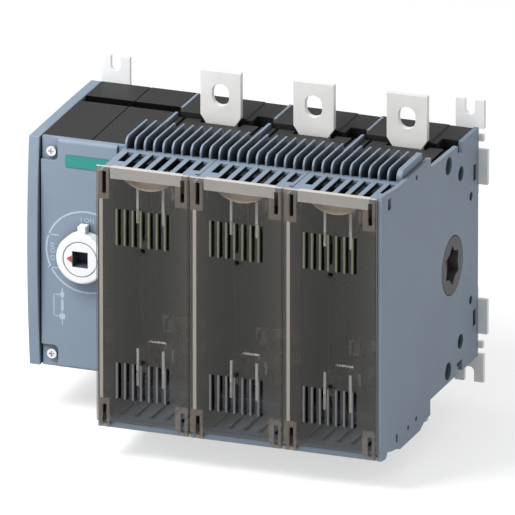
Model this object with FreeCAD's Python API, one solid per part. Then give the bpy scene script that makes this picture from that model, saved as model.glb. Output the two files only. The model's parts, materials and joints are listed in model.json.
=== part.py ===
"""Three-pole fuse switch disconnector with its operating mechanism on the left.

Frame: millimetres, +Z up. The front, with the fuse covers, faces -Y. The origin lies on the
mounting plane, midway between the four mounting forks. Depths are measured forwards from the
housing's back, which the mounting feet hold off the mounting plane.
"""

import FreeCAD
import Part
import math
import os

# Poles
POLE_COUNT = 3
POLE_PITCH = 60.0
WALL_T = 2.0
END_PLATE_T = 3.0
INNER_GAP = 0.2

# Switching rotor
SHAFT_DEPTH = 46.0
ROTOR_R = 20.0
ROTOR_SIDE_GAP = 3.0
JOURNAL_R = 14.0
JOURNAL_CLEARANCE = 0.1
SHAFT_SQUARE = 12.0
BLADE_R = 36.0
CHAMBER_GAP = 2.0
CHAMBER_R = BLADE_R + CHAMBER_GAP
BLADE_T = 2.0
BLADE_START_DEG = 67.0
BLADE_END_DEG = 151.0
SWITCH_ANGLE_DEG = 90.0
KNIFE_T = 4.0
KNIFE_CLEARANCE = 0.35
CONTACT_OFFSET = 11.0
HUB_R = 18.25
HUB_CLEARANCE = 0.3
STAR_TIP_R = 12.5
STAR_VALLEY_R = 9.2
STAR_POINTS = 6
STAR_DEPTH = 9.0

# Main sizes of the moulded housing
BODY_HALF_HEIGHT = 73.4
BODY_CHAMFER = 1.2
BASE_WALL = 16.0
COMPARTMENT_DEPTH = 70.0
BASE_FRONT = SHAFT_DEPTH + CHAMBER_R + BASE_WALL
FRONT_DEPTH = BASE_FRONT + COMPARTMENT_DEPTH

# Side outline: rises above or drops below the half height, insets from the front
NOTCH_START = 28.0
NOTCH_END = 36.8
NOTCH_DROP = 7.4
SHOULDER_RISE = 1.6
END_TOP_RISE = 8.1
END_TOP_RUN = 30.0
FRONT_TOP_RISE = 11.2
FRONT_BOTTOM_DROP = 10.4
BELLY_DROP = 13.6
BELLY_SETBACK = 2.0
BELLY_INSET = 33.0
HEEL_DROP = 9.9
HEEL_OVERLAP = 7.0
LIP_BACK_INSET = 27.0
LIP_MID_INSET = 18.0
LIP_FRONT_INSET = 11.0
LIP_DROP = 8.1
LIP_STEP = 1.0
LIP_RUN = 3.0
NOTCH_FLOOR = BODY_HALF_HEIGHT - NOTCH_DROP
SHOULDER_HEIGHT = BODY_HALF_HEIGHT + SHOULDER_RISE
SHOULDER_DEPTH = BASE_FRONT - BASE_WALL
END_TOP_HEIGHT = BODY_HALF_HEIGHT + END_TOP_RISE
END_TOP_FRONT = FRONT_DEPTH - END_TOP_RUN
FRONT_TOP_HEIGHT = BODY_HALF_HEIGHT + FRONT_TOP_RISE
FRONT_BOTTOM = -(BODY_HALF_HEIGHT + FRONT_BOTTOM_DROP)
BELLY_BOTTOM = -(BODY_HALF_HEIGHT + BELLY_DROP)
BELLY_BACK = BASE_FRONT + BELLY_SETBACK
BELLY_FRONT = FRONT_DEPTH - BELLY_INSET
HEEL_BOTTOM = -(BODY_HALF_HEIGHT + HEEL_DROP)
HEEL_FRONT = BASE_FRONT - HEEL_OVERLAP
LIP_BACK = FRONT_DEPTH - LIP_BACK_INSET
LIP_MID = FRONT_DEPTH - LIP_MID_INSET
LIP_FRONT = FRONT_DEPTH - LIP_FRONT_INSET
LIP_BOTTOM = -(BODY_HALF_HEIGHT + LIP_DROP)

# Hood with its comb of ribs and the slotted shelf in front of it
HOOD_OVERLAP = 9.0
HOOD_INSET = 43.0
HOOD_RISE = 13.1
HOOD_ROUND = 5.0
SHELF_RISE = 5.6
SHELF_T = 2.5
SHELF_INSET = 9.0
COMB_RIBS = 10
COMB_RIB_T = 1.4
COMB_FIRST_RIB = 1.0
COMB_GAP_DROP = 0.8
COMB_BACK_WALL = 2.0
COMB_FRONT_WALL = 2.5
SHELF_SLOTS = 7
SHELF_SLOT_W = 4.4
SHELF_SLOT_START = 3.5
SHELF_SLOT_RIM = 1.5
LATCH_LAND_INSET = 22.0
LATCH_HOLE_R = 1.2
LATCH_HOLE_INSET = 1.6
BELLY_GAP_DEPTH = 6.0
HOOD_BACK = BASE_FRONT - HOOD_OVERLAP
HOOD_FRONT = FRONT_DEPTH - HOOD_INSET
HOOD_TOP = BODY_HALF_HEIGHT + HOOD_RISE
SHELF_TOP = BODY_HALF_HEIGHT + SHELF_RISE
SHELF_FRONT = FRONT_DEPTH - SHELF_INSET
COMB_GAP_FLOOR = BODY_HALF_HEIGHT - COMB_GAP_DROP
COMB_GAP_BACK = HOOD_BACK + COMB_BACK_WALL
COMB_GAP_FRONT = HOOD_FRONT - COMB_FRONT_WALL
SHELF_SLOT_BACK = HOOD_FRONT + SHELF_SLOT_START
SHELF_SLOT_FRONT = SHELF_FRONT - SHELF_SLOT_RIM
LATCH_LAND_BACK = FRONT_DEPTH - LATCH_LAND_INSET

# Contact base, its platform and the rear covers
PLATFORM_DROP = 2.6
GROOVE_DROP = 15.4
REAR_SEAT_DROP = 12.4
LID_FRONT = 35.0
PLATFORM_BACK = 38.0
LID_NOTCH_FRONT = 25.0
LID_NOTCH_W = 11.0
LID_STEP = 0.8
LID_STEP_W = 15.0
CHANNEL_INSET = 3.8
CHANNEL_W = 1.8
CHANNEL_DROP = 2.0
FLOOR_T = 2.5
FLOOR_DROP = 5.1
FLOOR_RIBS = 5
FLOOR_RIB_T = 1.6
FLOOR_RIB_H = 2.0
PLATFORM_HEIGHT = BODY_HALF_HEIGHT - PLATFORM_DROP
GROOVE_FLOOR = BODY_HALF_HEIGHT - GROOVE_DROP
REAR_SEAT = BODY_HALF_HEIGHT - REAR_SEAT_DROP
FLOOR_TOP = -(BODY_HALF_HEIGHT + FLOOR_DROP)

# Terminals
TAB_W = 26.0
TAB_T = 4.0
TAB_RISE = 30.8
TAB_FOOT_X = 3.4
TAB_FOOT_Z = 5.0
TAB_SEAT_WALL = 6.0
POCKET_DEPTH = 5.0
POCKET_REACH = 1.0
TERMINAL_HOLE_W = 11.0
TERMINAL_HOLE_H = 14.0
TERMINAL_HOLE_DROP = 14.9
KNIFE_W = 8.0
KNIFE_TIP = 26.0
TAB_TOP = BODY_HALF_HEIGHT + TAB_RISE
TAB_ROOT = CHAMBER_R + TAB_SEAT_WALL
TERMINAL_HOLE_Z = TAB_TOP - TERMINAL_HOLE_DROP

# Fuse jaws: the upper one sits nearer the top than the lower one to the bottom
JAW_TOP_HIGH_DROP = 4.4
JAW_TOP_H = 23.0
JAW_BOTTOM_LOW_DROP = 15.4
JAW_BOTTOM_H = 24.0
JAW_BASE_W = 30.0
JAW_T = 1.8
JAW_ROOT_HALF = 9.5
JAW_ROOT_RUN = 10.0
JAW_PINCH_GAP = 5.6
JAW_TIP_HALF = 8.2
JAW_PINCH_BACK_INSET = 46.0
JAW_PINCH_FRONT_INSET = 33.0
JAW_TIP_INSET = 7.6
JAW_BAR_HALF = 5.0
JAW_BAR_DROP = 20.4
JAW_BAR_RUN = 3.0
JAW_BAR_INNER = (64.0, 20.0)
BRIDGE_T = 1.2
BRIDGE_HALF = 5.6
BRIDGE_L = 18.0
BRIDGE_OVERLAP = 5.0
SPRING_T = 1.0
SPRING_W = 8.0
JAW_TOP_HIGH = BODY_HALF_HEIGHT - JAW_TOP_HIGH_DROP
JAW_TOP_SPAN = (JAW_TOP_HIGH - JAW_TOP_H, JAW_TOP_HIGH)
JAW_BOTTOM_LOW = -(BODY_HALF_HEIGHT - JAW_BOTTOM_LOW_DROP)
JAW_BOTTOM_SPAN = (JAW_BOTTOM_LOW, JAW_BOTTOM_LOW + JAW_BOTTOM_H)
JAW_ROOT_FRONT = BASE_FRONT + JAW_ROOT_RUN
JAW_PINCH_BACK = FRONT_DEPTH - JAW_PINCH_BACK_INSET
JAW_PINCH_FRONT = FRONT_DEPTH - JAW_PINCH_FRONT_INSET
JAW_TIP_DEPTH = FRONT_DEPTH - JAW_TIP_INSET
JAW_BAR_OUTER = (BASE_FRONT - JAW_BAR_RUN, BODY_HALF_HEIGHT - JAW_BAR_DROP)

# Fuse covers and their hinges
COVER_GAP = 0.6
COVER_SHIFT = 1.6
COVER_T = 2.0
COVER_CLEARANCE = 0.3
COVER_TOP_RISE = 9.9
COVER_BOTTOM_DROP = 5.9
SKIRT_T = 2.0
SKIRT_GAP = 0.5
SKIRT_EDGE = 0.3
SKIRT_DEPTH = 16.0
SKIRT_HEAD_GAP = 14.0
SKIRT_FOOT_GAP = 11.0
LEG_W = 6.0
LEG_DROP = 3.5
LEG_OVERLAP = 4.0
HINGE_INSET = 4.0
HINGE_DROP = 8.1
HINGE_R = 3.4
HINGE_PIN_R = 1.3
HINGE_CLEARANCE = 0.1
HINGE_END_GAP = 0.4
GRIP_LEFT_INSET = 8.0
GRIP_RIGHT_INSET = 6.3
GRIP_H = 7.1
GRIP_DEPTH = 2.0
GRIP_RIB_T = 1.4
GRIP_RIB_H = 6.5
SCOOP_HALF = 15.5
SCOOP_DROP = 6.2
SCOOP_DEPTH = 5.0
COVER_ROUND = 1.0
FACE_SHIFT = 0.8
LATCH_SLOT_INSET = 4.9
LATCH_SLOT_W = 2.4
LATCH_SLOT_RIM = 3.0
LATCH_SLOT_H = 14.0
LATCH_FOOT_RIM = 2.5
LATCH_FOOT_H = 12.0
VENT_COUNT = 7
VENT_PITCH = 5.16
VENT_W = 2.2
VENT_H = 23.0
VENT_TOP_DROP = 26.0
VENT_FOOT_RISE = 15.5
VENT_SHORT = 4.4
PROBE_R = 1.6
PROBE_RING_R = 2.8
PROBE_RING_H = 0.6
PROBE_FROM_SLOT = 6.3
COVER_TOP = BODY_HALF_HEIGHT + COVER_TOP_RISE
COVER_BOTTOM = -(BODY_HALF_HEIGHT + COVER_BOTTOM_DROP)
COVER_FRONT = FRONT_DEPTH + COVER_CLEARANCE + COVER_T
HINGE_DEPTH = FRONT_DEPTH - HINGE_INSET
HINGE_Z = -(BODY_HALF_HEIGHT + HINGE_DROP)
GRIP_BOTTOM = COVER_TOP - GRIP_H
LATCH_SLOT_TOP = (COVER_TOP - LATCH_SLOT_RIM - LATCH_SLOT_H, COVER_TOP - LATCH_SLOT_RIM)
LATCH_SLOT_LOW = COVER_BOTTOM - LEG_DROP + LATCH_FOOT_RIM
LATCH_SLOT_BOTTOM = (LATCH_SLOT_LOW, LATCH_SLOT_LOW + LATCH_FOOT_H)
VENT_TOP = (COVER_TOP - VENT_TOP_DROP - VENT_H, COVER_TOP - VENT_TOP_DROP)
VENT_BOTTOM = (COVER_BOTTOM + VENT_FOOT_RISE, COVER_BOTTOM + VENT_FOOT_RISE + VENT_H)

# Operating mechanism; its front lies a little lower than its back
MECH_WIDTH = 68.7
MECH_DEPTH = 106.2
MECH_SINK = 0.9
GROOVE_START = 28.0
GROOVE_W = 10.0
GROOVE_H = 6.4
SIDE_SHELL_T = 7.0
SIDE_SHELL_BULGE = 4.0
FRONT_PLATE_T = 5.0
FRONT_PLATE_ROUND = 2.5
SHADOW_GAP = 0.8
CASE_SPLIT = 38.7
CASE_SPLIT_GAP = 0.4
DRUM_X_FROM_LEFT = 36.4
DRUM_R = 15.8
DRUM_PROUD = 9.0
DRUM_ROUND = 1.5
DRUM_NECK_R = 12.0
NECK_REACH = 3.0
DRUM_CLEARANCE = 0.3
DRIVE_SQUARE = 10.0
DRIVE_DEPTH = 12.0
POINTER_LENGTH = 3.4
POINTER_HALF = 2.3
POINTER_T = 0.4
POINTER_GAP = 0.3
FACE_GROOVE_R = 11.0
FACE_GROOVE_W = 0.7
FACE_GROOVE_DEPTH = 0.4
DRUM_LUG_W = 5.0
DRUM_LUG_H = 4.5
DRUM_LUG_DEPTH = 6.5
SCREW_HEAD_R = 3.1
SCREW_HEAD_H = 2.2
SCREW_SHANK_R = 1.6
SCREW_LENGTH = 10.0
SCREW_CROSS_W = 0.9
SCREW_CROSS_L = 3.4
SCREW_INSET = 7.5
SCREW_DROP = 8.4
SCREW_NOTCH_W = 11.6
SCREW_NOTCH_H = 14.0
SCREW_NOTCH_DEPTH = 2.0
SCREW_NOTCH_R = 3.0
LABEL_FROM_LEFT = 37.7
LABEL_DROP = 13.4
LABEL_W = 27.7
LABEL_H = 7.4
LABEL_T = 0.6
SCREW_Z = BODY_HALF_HEIGHT - SCREW_DROP
LABEL_Z = BODY_HALF_HEIGHT - LABEL_DROP - MECH_SINK

# Mitre gears between the drum and the switch shaft
GEAR_TEETH = 16
GEAR_PITCH_R = 16.0
GEAR_FACE = 6.5
TOOTH_HEIGHT = 1.7
TOOTH_ROOT = 2.0
TOOTH_SHARE = 0.40
TOOTH_TIP_SHARE = 0.20
GEAR_BACK_T = 3.0
GEAR_ROOM = 3.0
DRUM_SHAFT_R = 7.0

# Mounting feet
MOUNT_SPACING_X = 229.0
FOOT_T = 3.0
FORK_W = 18.4
FORK_SLOT_W = 6.4
FORK_RISE = 17.1
FORK_SLOT_RISE = 7.6
FORK_NECK_DROP = 0.9
FOOT_INSET = 5.75
FOOT_PLATE_DROP = 4.0
FOOT_LOW_DROP = 43.4
FOOT_REACH_IN = 26.0
FOOT_EDGE_INSET = 0.8
LUG_OUT = 5.8
LUG_LOW_DROP = 36.5
LUG_HIGH_DROP = 14.2
TOOTH_OUT = 3.0
TOOTH_LOW_DROP = 9.0
TOOTH_HIGH_DROP = 4.9
FOOT_SCREW_DROP = 24.4
FOOT_SCREW_R = 2.0
FOOT_SCREW_HEAD_R = 4.0
FOOT_SCREW_LENGTH = 12.0
FOOT_SINK_SHARE = 0.75
FORK_TOP = BODY_HALF_HEIGHT + FORK_RISE
FORK_SLOT_BOTTOM = BODY_HALF_HEIGHT + FORK_SLOT_RISE
FORK_NECK = BODY_HALF_HEIGHT - FORK_NECK_DROP
FOOT_LOW = BODY_HALF_HEIGHT - FOOT_LOW_DROP
FOOT_SCREW_Z = BODY_HALF_HEIGHT - FOOT_SCREW_DROP
LUG_SPAN = (BODY_HALF_HEIGHT - LUG_LOW_DROP, BODY_HALF_HEIGHT - LUG_HIGH_DROP)
TOOTH_SPAN = (BODY_HALF_HEIGHT - TOOTH_LOW_DROP, BODY_HALF_HEIGHT - TOOTH_HIGH_DROP)

# Tie rods and the holes of the end plate
TIE_ROD_R = 2.5
TIE_HEAD_R = 4.6
TIE_HEAD_L = 3.0
TIE_HEAD_GAP = 0.4
UPPER_TIE_DEPTH = 52.7
UPPER_TIE_DROP = 7.6
REAR_TIE_DEPTH = 31.0
REAR_TIE_DROP = 19.6
UPPER_TIE_HOLE_R = 5.5
REAR_TIE_HOLE_R = 4.6
REAR_HOLE_DEPTH = 13.0
REAR_HOLE_DROP = 40.1
REAR_HOLE_R = 2.7
REAR_SLOT_DEPTHS = (4.0, 9.0)
REAR_SLOT_DROPS = (31.8, 21.8)
PIN_HOLE_R = 1.5
HOOD_PIN_RISE = 3.6
HOOD_PIN_SETBACK = 9.0
FRONT_SLOT_INSETS = (16.0, 11.0)
FRONT_SLOT_DROPS = (12.5, 5.5)
BELLY_PIN_INSET = 47.0
BELLY_PIN_RISE = 9.0
LIP_SLOT_INSETS = (28.5, 25.5)
LIP_SLOT_RISES = (3.3, 8.3)
UPPER_TIE = (UPPER_TIE_DEPTH, BODY_HALF_HEIGHT - UPPER_TIE_DROP)
REAR_TIE = (REAR_TIE_DEPTH, BODY_HALF_HEIGHT - REAR_TIE_DROP)
REAR_HOLE_Z = BODY_HALF_HEIGHT - REAR_HOLE_DROP
REAR_SLOT_Z = tuple(BODY_HALF_HEIGHT - drop for drop in REAR_SLOT_DROPS)
HOOD_PIN_Z = BODY_HALF_HEIGHT + HOOD_PIN_RISE

# Places worked out from the sizes above
RIGHT_X = MOUNT_SPACING_X / 2 + FOOT_INSET
POLES_LEFT_X = RIGHT_X - WALL_T / 2 - POLE_COUNT * POLE_PITCH
MECH_RIGHT_X = POLES_LEFT_X - WALL_T / 2
MECH_LEFT_X = MECH_RIGHT_X - MECH_WIDTH
COMB_PITCH = POLE_PITCH / COMB_RIBS
SHAFT_Y = -(FOOT_T + SHAFT_DEPTH)
DRUM_X = MECH_LEFT_X + DRUM_X_FROM_LEFT


def depth(value):
    """Y of a point that lies value in front of the housing's back."""
    return -(FOOT_T + value)


def wall_x(index):
    """X of the middle of the wall on the left of a pole, counted from 0."""
    return POLES_LEFT_X + index * POLE_PITCH


def pole_centre(index):
    """X of a pole's middle."""
    return wall_x(index) + POLE_PITCH / 2


def inner_span(index):
    """Left and right X of the free room between a pole's walls."""
    left = wall_x(index) + WALL_T / 2
    right = wall_x(index + 1) - WALL_T / 2
    if index == POLE_COUNT - 1:
        right = RIGHT_X - END_PLATE_T
    return left, right


def box(x0, x1, d0, d1, z0, z1):
    """A block between two X, two depths and two heights."""
    corner = FreeCAD.Vector(min(x0, x1), depth(max(d0, d1)), min(z0, z1))
    return Part.makeBox(abs(x1 - x0), abs(d1 - d0), abs(z1 - z0), corner)


def side_prism(points, x0, x1):
    """A side profile of (depth, z) points drawn out along X."""
    ring = [FreeCAD.Vector(x0, depth(d), z) for d, z in points]
    face = Part.Face(Part.makePolygon(ring + ring[:1]))
    return face.extrude(FreeCAD.Vector(x1 - x0, 0, 0))


def plan_prism(points, z0, z1):
    """A plan profile of (x, depth) points drawn out along Z."""
    ring = [FreeCAD.Vector(x, depth(d), z0) for x, d in points]
    face = Part.Face(Part.makePolygon(ring + ring[:1]))
    return face.extrude(FreeCAD.Vector(0, 0, z1 - z0))


def front_prism(points, d0, d1):
    """A front profile of (x, z) points drawn out along the depth."""
    ring = [FreeCAD.Vector(x, depth(d0), z) for x, z in points]
    face = Part.Face(Part.makePolygon(ring + ring[:1]))
    return face.extrude(FreeCAD.Vector(0, d0 - d1, 0))


def bar_x(x0, x1, d, z, radius):
    """A round bar along X."""
    return Part.makeCylinder(radius, x1 - x0, FreeCAD.Vector(x0, depth(d), z), FreeCAD.Vector(1, 0, 0))


def bar_y(x, z, d0, d1, radius):
    """A round bar along the depth."""
    return Part.makeCylinder(radius, d1 - d0, FreeCAD.Vector(x, depth(d0), z), FreeCAD.Vector(0, -1, 0))


def square_bar_x(x0, x1, d, z, size):
    """A square bar along X."""
    half = size / 2
    return box(x0, x1, d - half, d + half, z - half, z + half)


def join(shapes):
    """One solid of overlapping or touching shapes."""
    result = shapes[0]
    if len(shapes) > 1:
        result = shapes[0].multiFuse(shapes[1:])
    return result.removeSplitter()


def mirror_z(shape):
    """The shape mirrored top to bottom."""
    return shape.mirror(FreeCAD.Vector(0, 0, 0), FreeCAD.Vector(0, 0, 1))


def ribbon(points, thickness, offset=0.0):
    """The outline of a strip that follows a line of points, shifted sideways by offset."""
    near, far = [], []
    last = len(points) - 1
    for i, (x, y) in enumerate(points):
        ax, ay = points[max(i - 1, 0)]
        bx, by = points[min(i + 1, last)]
        before = math.atan2(y - ay, x - ax) if i > 0 else math.atan2(by - y, bx - x)
        after = math.atan2(by - y, bx - x) if i < last else before
        middle = (before + after) / 2
        stretch = 1 / math.cos((after - before) / 2)
        nx, ny = -math.sin(middle) * stretch, math.cos(middle) * stretch
        near.append((x + nx * (offset - thickness / 2), y + ny * (offset - thickness / 2)))
        far.append((x + nx * (offset + thickness / 2), y + ny * (offset + thickness / 2)))
    return near + far[::-1]


def wall_crest():
    """The top of a pole wall, level behind the hood and flush with the shelf in front of it."""
    return [
        (HOOD_BACK, BODY_HALF_HEIGHT),
        (HOOD_BACK, SHELF_TOP),
        (FRONT_DEPTH, SHELF_TOP),
    ]


def end_crest():
    """The top of the right end plate, which shields the hood and the shelf from the side."""
    return [
        (SHOULDER_DEPTH, SHOULDER_HEIGHT),
        (SHOULDER_DEPTH, END_TOP_HEIGHT),
        (END_TOP_FRONT, END_TOP_HEIGHT),
        (FRONT_DEPTH, FRONT_TOP_HEIGHT),
    ]


def wall_profile(crest):
    """The side outline of a pole wall or of the right end plate, which differ in their crest."""
    return [
        (0, -BODY_HALF_HEIGHT),
        (0, BODY_HALF_HEIGHT),
        (NOTCH_START, BODY_HALF_HEIGHT),
        (NOTCH_START, NOTCH_FLOOR),
        (NOTCH_END, NOTCH_FLOOR),
        (NOTCH_END, BODY_HALF_HEIGHT),
        *crest,
        (FRONT_DEPTH, FRONT_BOTTOM),
        (LIP_FRONT + LIP_RUN, FRONT_BOTTOM - LIP_STEP),
        (LIP_FRONT, LIP_BOTTOM),
        (LIP_MID, HEEL_BOTTOM),
        (LIP_BACK, FRONT_BOTTOM - LIP_STEP),
        (BELLY_FRONT, BELLY_BOTTOM),
        (BELLY_BACK, BELLY_BOTTOM),
        (HEEL_FRONT, HEEL_BOTTOM),
        (SHOULDER_DEPTH, HEEL_BOTTOM),
        (SHOULDER_DEPTH, -BODY_HALF_HEIGHT),
        (NOTCH_END, -BODY_HALF_HEIGHT),
        (NOTCH_END, -NOTCH_FLOOR),
        (NOTCH_START, -NOTCH_FLOOR),
        (NOTCH_START, -BODY_HALF_HEIGHT),
    ]


def hood_block(x0, x1):
    """The hood's rounded block with the shelf in front of it, before the comb is cut."""
    x = FreeCAD.Vector(x1 - x0, 0, 0)
    corner = [
        (BASE_FRONT, PLATFORM_HEIGHT),
        (HOOD_BACK, PLATFORM_HEIGHT),
        (HOOD_BACK, HOOD_TOP),
        (HOOD_FRONT - HOOD_ROUND, HOOD_TOP),
    ]
    rest = [
        (HOOD_FRONT, HOOD_TOP - HOOD_ROUND),
        (HOOD_FRONT, SHELF_TOP),
        (SHELF_FRONT, SHELF_TOP),
        (SHELF_FRONT, SHELF_TOP - SHELF_T),
        (HOOD_FRONT, SHELF_TOP - SHELF_T),
        (HOOD_FRONT, PLATFORM_HEIGHT),
        (BASE_FRONT, PLATFORM_HEIGHT),
    ]

    def place(point):
        return FreeCAD.Vector(x0, depth(point[0]), point[1])

    slope = HOOD_ROUND * math.sqrt(0.5)
    middle = (HOOD_FRONT - HOOD_ROUND + slope, HOOD_TOP - HOOD_ROUND + slope)
    edges = [Part.makeLine(place(a), place(b)) for a, b in zip(corner, corner[1:])]
    edges.append(Part.Arc(place(corner[-1]), place(middle), place(rest[0])).toShape())
    edges += [Part.makeLine(place(a), place(b)) for a, b in zip(rest, rest[1:])]
    return Part.Face(Part.Wire(edges)).extrude(x)


def comb_gap_spans(index):
    """X spans of the gaps between a pole's comb ribs."""
    left = wall_x(index)
    half = COMB_RIB_T / 2
    spans = [(left - WALL_T / 2, left + COMB_FIRST_RIB - half)]
    for i in range(COMB_RIBS):
        start = left + COMB_FIRST_RIB + i * COMB_PITCH + half
        end = start + COMB_PITCH - COMB_RIB_T
        if i == COMB_RIBS - 1 and index == POLE_COUNT - 1:
            continue
        spans.append((start, min(end, left + POLE_PITCH - WALL_T / 2)))
    return spans


def comb_cuts(index):
    """The open gaps of the comb and the deep vents at their feet."""
    cuts = []
    for start, end in comb_gap_spans(index):
        cuts.append(box(start, end, HOOD_BACK - 1, HOOD_FRONT + 1, SHELF_TOP, HOOD_TOP + 1))
        cuts.append(box(start, end, COMB_GAP_BACK, COMB_GAP_FRONT, COMB_GAP_FLOOR, SHELF_TOP + 1))
    return cuts


def shelf_cuts(index):
    """The slots of the shelf, which run towards the cover, and the latch's hole beside the wall."""
    pitch = POLE_PITCH / (SHELF_SLOTS + 0.5)
    low = SHELF_TOP - SHELF_T - 1
    cuts = []
    for i in range(SHELF_SLOTS):
        middle = wall_x(index) + pitch * (i + 0.75)
        x0 = middle - SHELF_SLOT_W / 2
        # The outer slots stop at the land that carries the latch
        front = SHELF_SLOT_FRONT if 0 < i < SHELF_SLOTS - 1 else LATCH_LAND_BACK
        cuts.append(box(x0, x0 + SHELF_SLOT_W, SHELF_SLOT_BACK, front, low, SHELF_TOP + 1))
    latch_x = inner_span(index)[1] - LATCH_HOLE_INSET
    latch_y = depth((LATCH_LAND_BACK + SHELF_FRONT) / 2)
    hole = Part.makeCylinder(LATCH_HOLE_R, SHELF_T + 2, FreeCAD.Vector(latch_x, latch_y, low))
    return cuts + [hole]


def belly_block(x0, x1):
    """The underside of the pole: the lower vent block and the compartment floor."""
    return side_prism(
        [
            (HOOD_BACK, -PLATFORM_HEIGHT),
            (HOOD_FRONT, -PLATFORM_HEIGHT),
            (HOOD_FRONT, FLOOR_TOP),
            (SHELF_FRONT, FLOOR_TOP),
            (SHELF_FRONT, FLOOR_TOP - FLOOR_T),
            (LIP_BACK, FLOOR_TOP - FLOOR_T),
            (BELLY_FRONT, BELLY_BOTTOM),
            (BELLY_BACK, BELLY_BOTTOM),
            (HEEL_FRONT, HEEL_BOTTOM),
            (HOOD_BACK, HEEL_BOTTOM),
        ],
        x0,
        x1,
    )


def belly_cuts(index):
    """The gaps of the lower comb."""
    low = BELLY_BOTTOM - 1
    high = BELLY_BOTTOM + BELLY_GAP_DEPTH
    inner = inner_span(index)
    spans = [(max(a, inner[0]), min(b, inner[1])) for a, b in comb_gap_spans(index)]
    return [box(a, b, BELLY_BACK, BELLY_FRONT, low, high) for a, b in spans if b - a > COMB_RIB_T]


def skirt_spans(index):
    """X spans of a cover's left and right skirts, which its hinge legs share."""
    left = inner_span(index)[0] + SKIRT_GAP
    right = cover_span(index)[1] - SKIRT_EDGE
    return (left, left + SKIRT_T), (right - SKIRT_T, right)


def hinge_span(index):
    """X span of the housing's hinge barrel, between the two legs of the cover."""
    left, right = skirt_spans(index)
    return left[1] + HINGE_END_GAP, right[0] - HINGE_END_GAP


def hinge_barrel(index):
    """The barrel along the housing's lower front edge, with the web that carries it."""
    x0, x1 = hinge_span(index)
    barrel = bar_x(x0, x1, HINGE_DEPTH, HINGE_Z, HINGE_R)
    web = box(x0, x1, SHELF_FRONT - 1, HINGE_DEPTH, HINGE_Z - FLOOR_T / 2, FLOOR_TOP)
    pin_hole = bar_x(x0 - 1, x1 + 1, HINGE_DEPTH, HINGE_Z, HINGE_PIN_R + HINGE_CLEARANCE)
    return join([barrel, web]), pin_hole


def floor_ribs(index):
    """Low ribs on the compartment floor, running from back to front."""
    left, right = inner_span(index)
    pitch = (right - left) / (FLOOR_RIBS + 1)
    ribs = []
    for i in range(FLOOR_RIBS):
        x0 = left + pitch * (i + 1) - FLOOR_RIB_T / 2
        ribs.append(box(x0, x0 + FLOOR_RIB_T, HOOD_FRONT, SHELF_FRONT, FLOOR_TOP, FLOOR_TOP + FLOOR_RIB_H))
    return ribs


def pole_housing(index):
    """One pole's moulding: its left wall, the hood with comb and shelf, and the floor."""
    left = wall_x(index) - WALL_T / 2
    inner_left, inner_right = inner_span(index)
    wall = side_prism(wall_profile(wall_crest()), left, inner_left)
    hood = hood_block(left, inner_right)
    belly = belly_block(inner_left, inner_right)
    barrel, pin_hole = hinge_barrel(index)
    body = join([wall, hood, belly, barrel] + floor_ribs(index))
    cuts = comb_cuts(index) + shelf_cuts(index) + belly_cuts(index) + [pin_hole]
    cuts.append(bar_x(left - 1, inner_left + 1, SHAFT_DEPTH, 0, JOURNAL_R + JOURNAL_CLEARANCE))
    for d, z in tie_places():
        cuts.append(bar_x(left - 1, inner_left + 1, d, z, TIE_ROD_R + INNER_GAP))
    return body.cut(cuts).removeSplitter()


def end_plate():
    """The right end plate with its moulded holes and the opening for the coupling hub."""
    x0, x1 = RIGHT_X - END_PLATE_T, RIGHT_X
    plate = side_prism(wall_profile(end_crest()), x0, x1)
    start, end = x0 - 1, x1 + 1
    cuts = [bar_x(start, end, SHAFT_DEPTH, 0, HUB_R + HUB_CLEARANCE)]
    for sign in (1, -1):
        cuts.append(bar_x(start, end, UPPER_TIE[0], sign * UPPER_TIE[1], UPPER_TIE_HOLE_R))
        cuts.append(bar_x(start, end, REAR_TIE[0], sign * REAR_TIE[1], REAR_TIE_HOLE_R))
        cuts.append(bar_x(start, end, REAR_HOLE_DEPTH, sign * REAR_HOLE_Z, REAR_HOLE_R))
        cuts.append(box(start, end, *REAR_SLOT_DEPTHS, sign * REAR_SLOT_Z[0], sign * REAR_SLOT_Z[1]))
        cuts.append(bar_x(start, end, BASE_FRONT + HOOD_PIN_SETBACK, sign * HOOD_PIN_Z, PIN_HOLE_R))
    cuts.append(bar_x(start, end, FRONT_DEPTH - BELLY_PIN_INSET, BELLY_BOTTOM + BELLY_PIN_RISE, PIN_HOLE_R))
    for insets, low, high in (
        (FRONT_SLOT_INSETS, FRONT_TOP_HEIGHT - FRONT_SLOT_DROPS[0], FRONT_TOP_HEIGHT - FRONT_SLOT_DROPS[1]),
        (LIP_SLOT_INSETS, FRONT_BOTTOM + LIP_SLOT_RISES[0], FRONT_BOTTOM + LIP_SLOT_RISES[1]),
    ):
        cuts.append(box(start, end, FRONT_DEPTH - insets[0], FRONT_DEPTH - insets[1], low, high))
    return plate.cut(cuts)


def tie_places():
    """Depth and height of the four tie rods."""
    return [(d, sign * z) for d, z in (UPPER_TIE, REAR_TIE) for sign in (1, -1)]


def tie_rods():
    """Four long rods with round heads that hold the poles and the mechanism together."""
    rods = []
    seat = RIGHT_X - END_PLATE_T
    for d, z in tie_places():
        rod = bar_x(MECH_RIGHT_X, seat, d, z, TIE_ROD_R)
        head = bar_x(seat - TIE_HEAD_L + 1, seat + 1, d, z, TIE_HEAD_R - TIE_HEAD_GAP)
        rods.append(join([rod, head]))
    return rods


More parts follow.
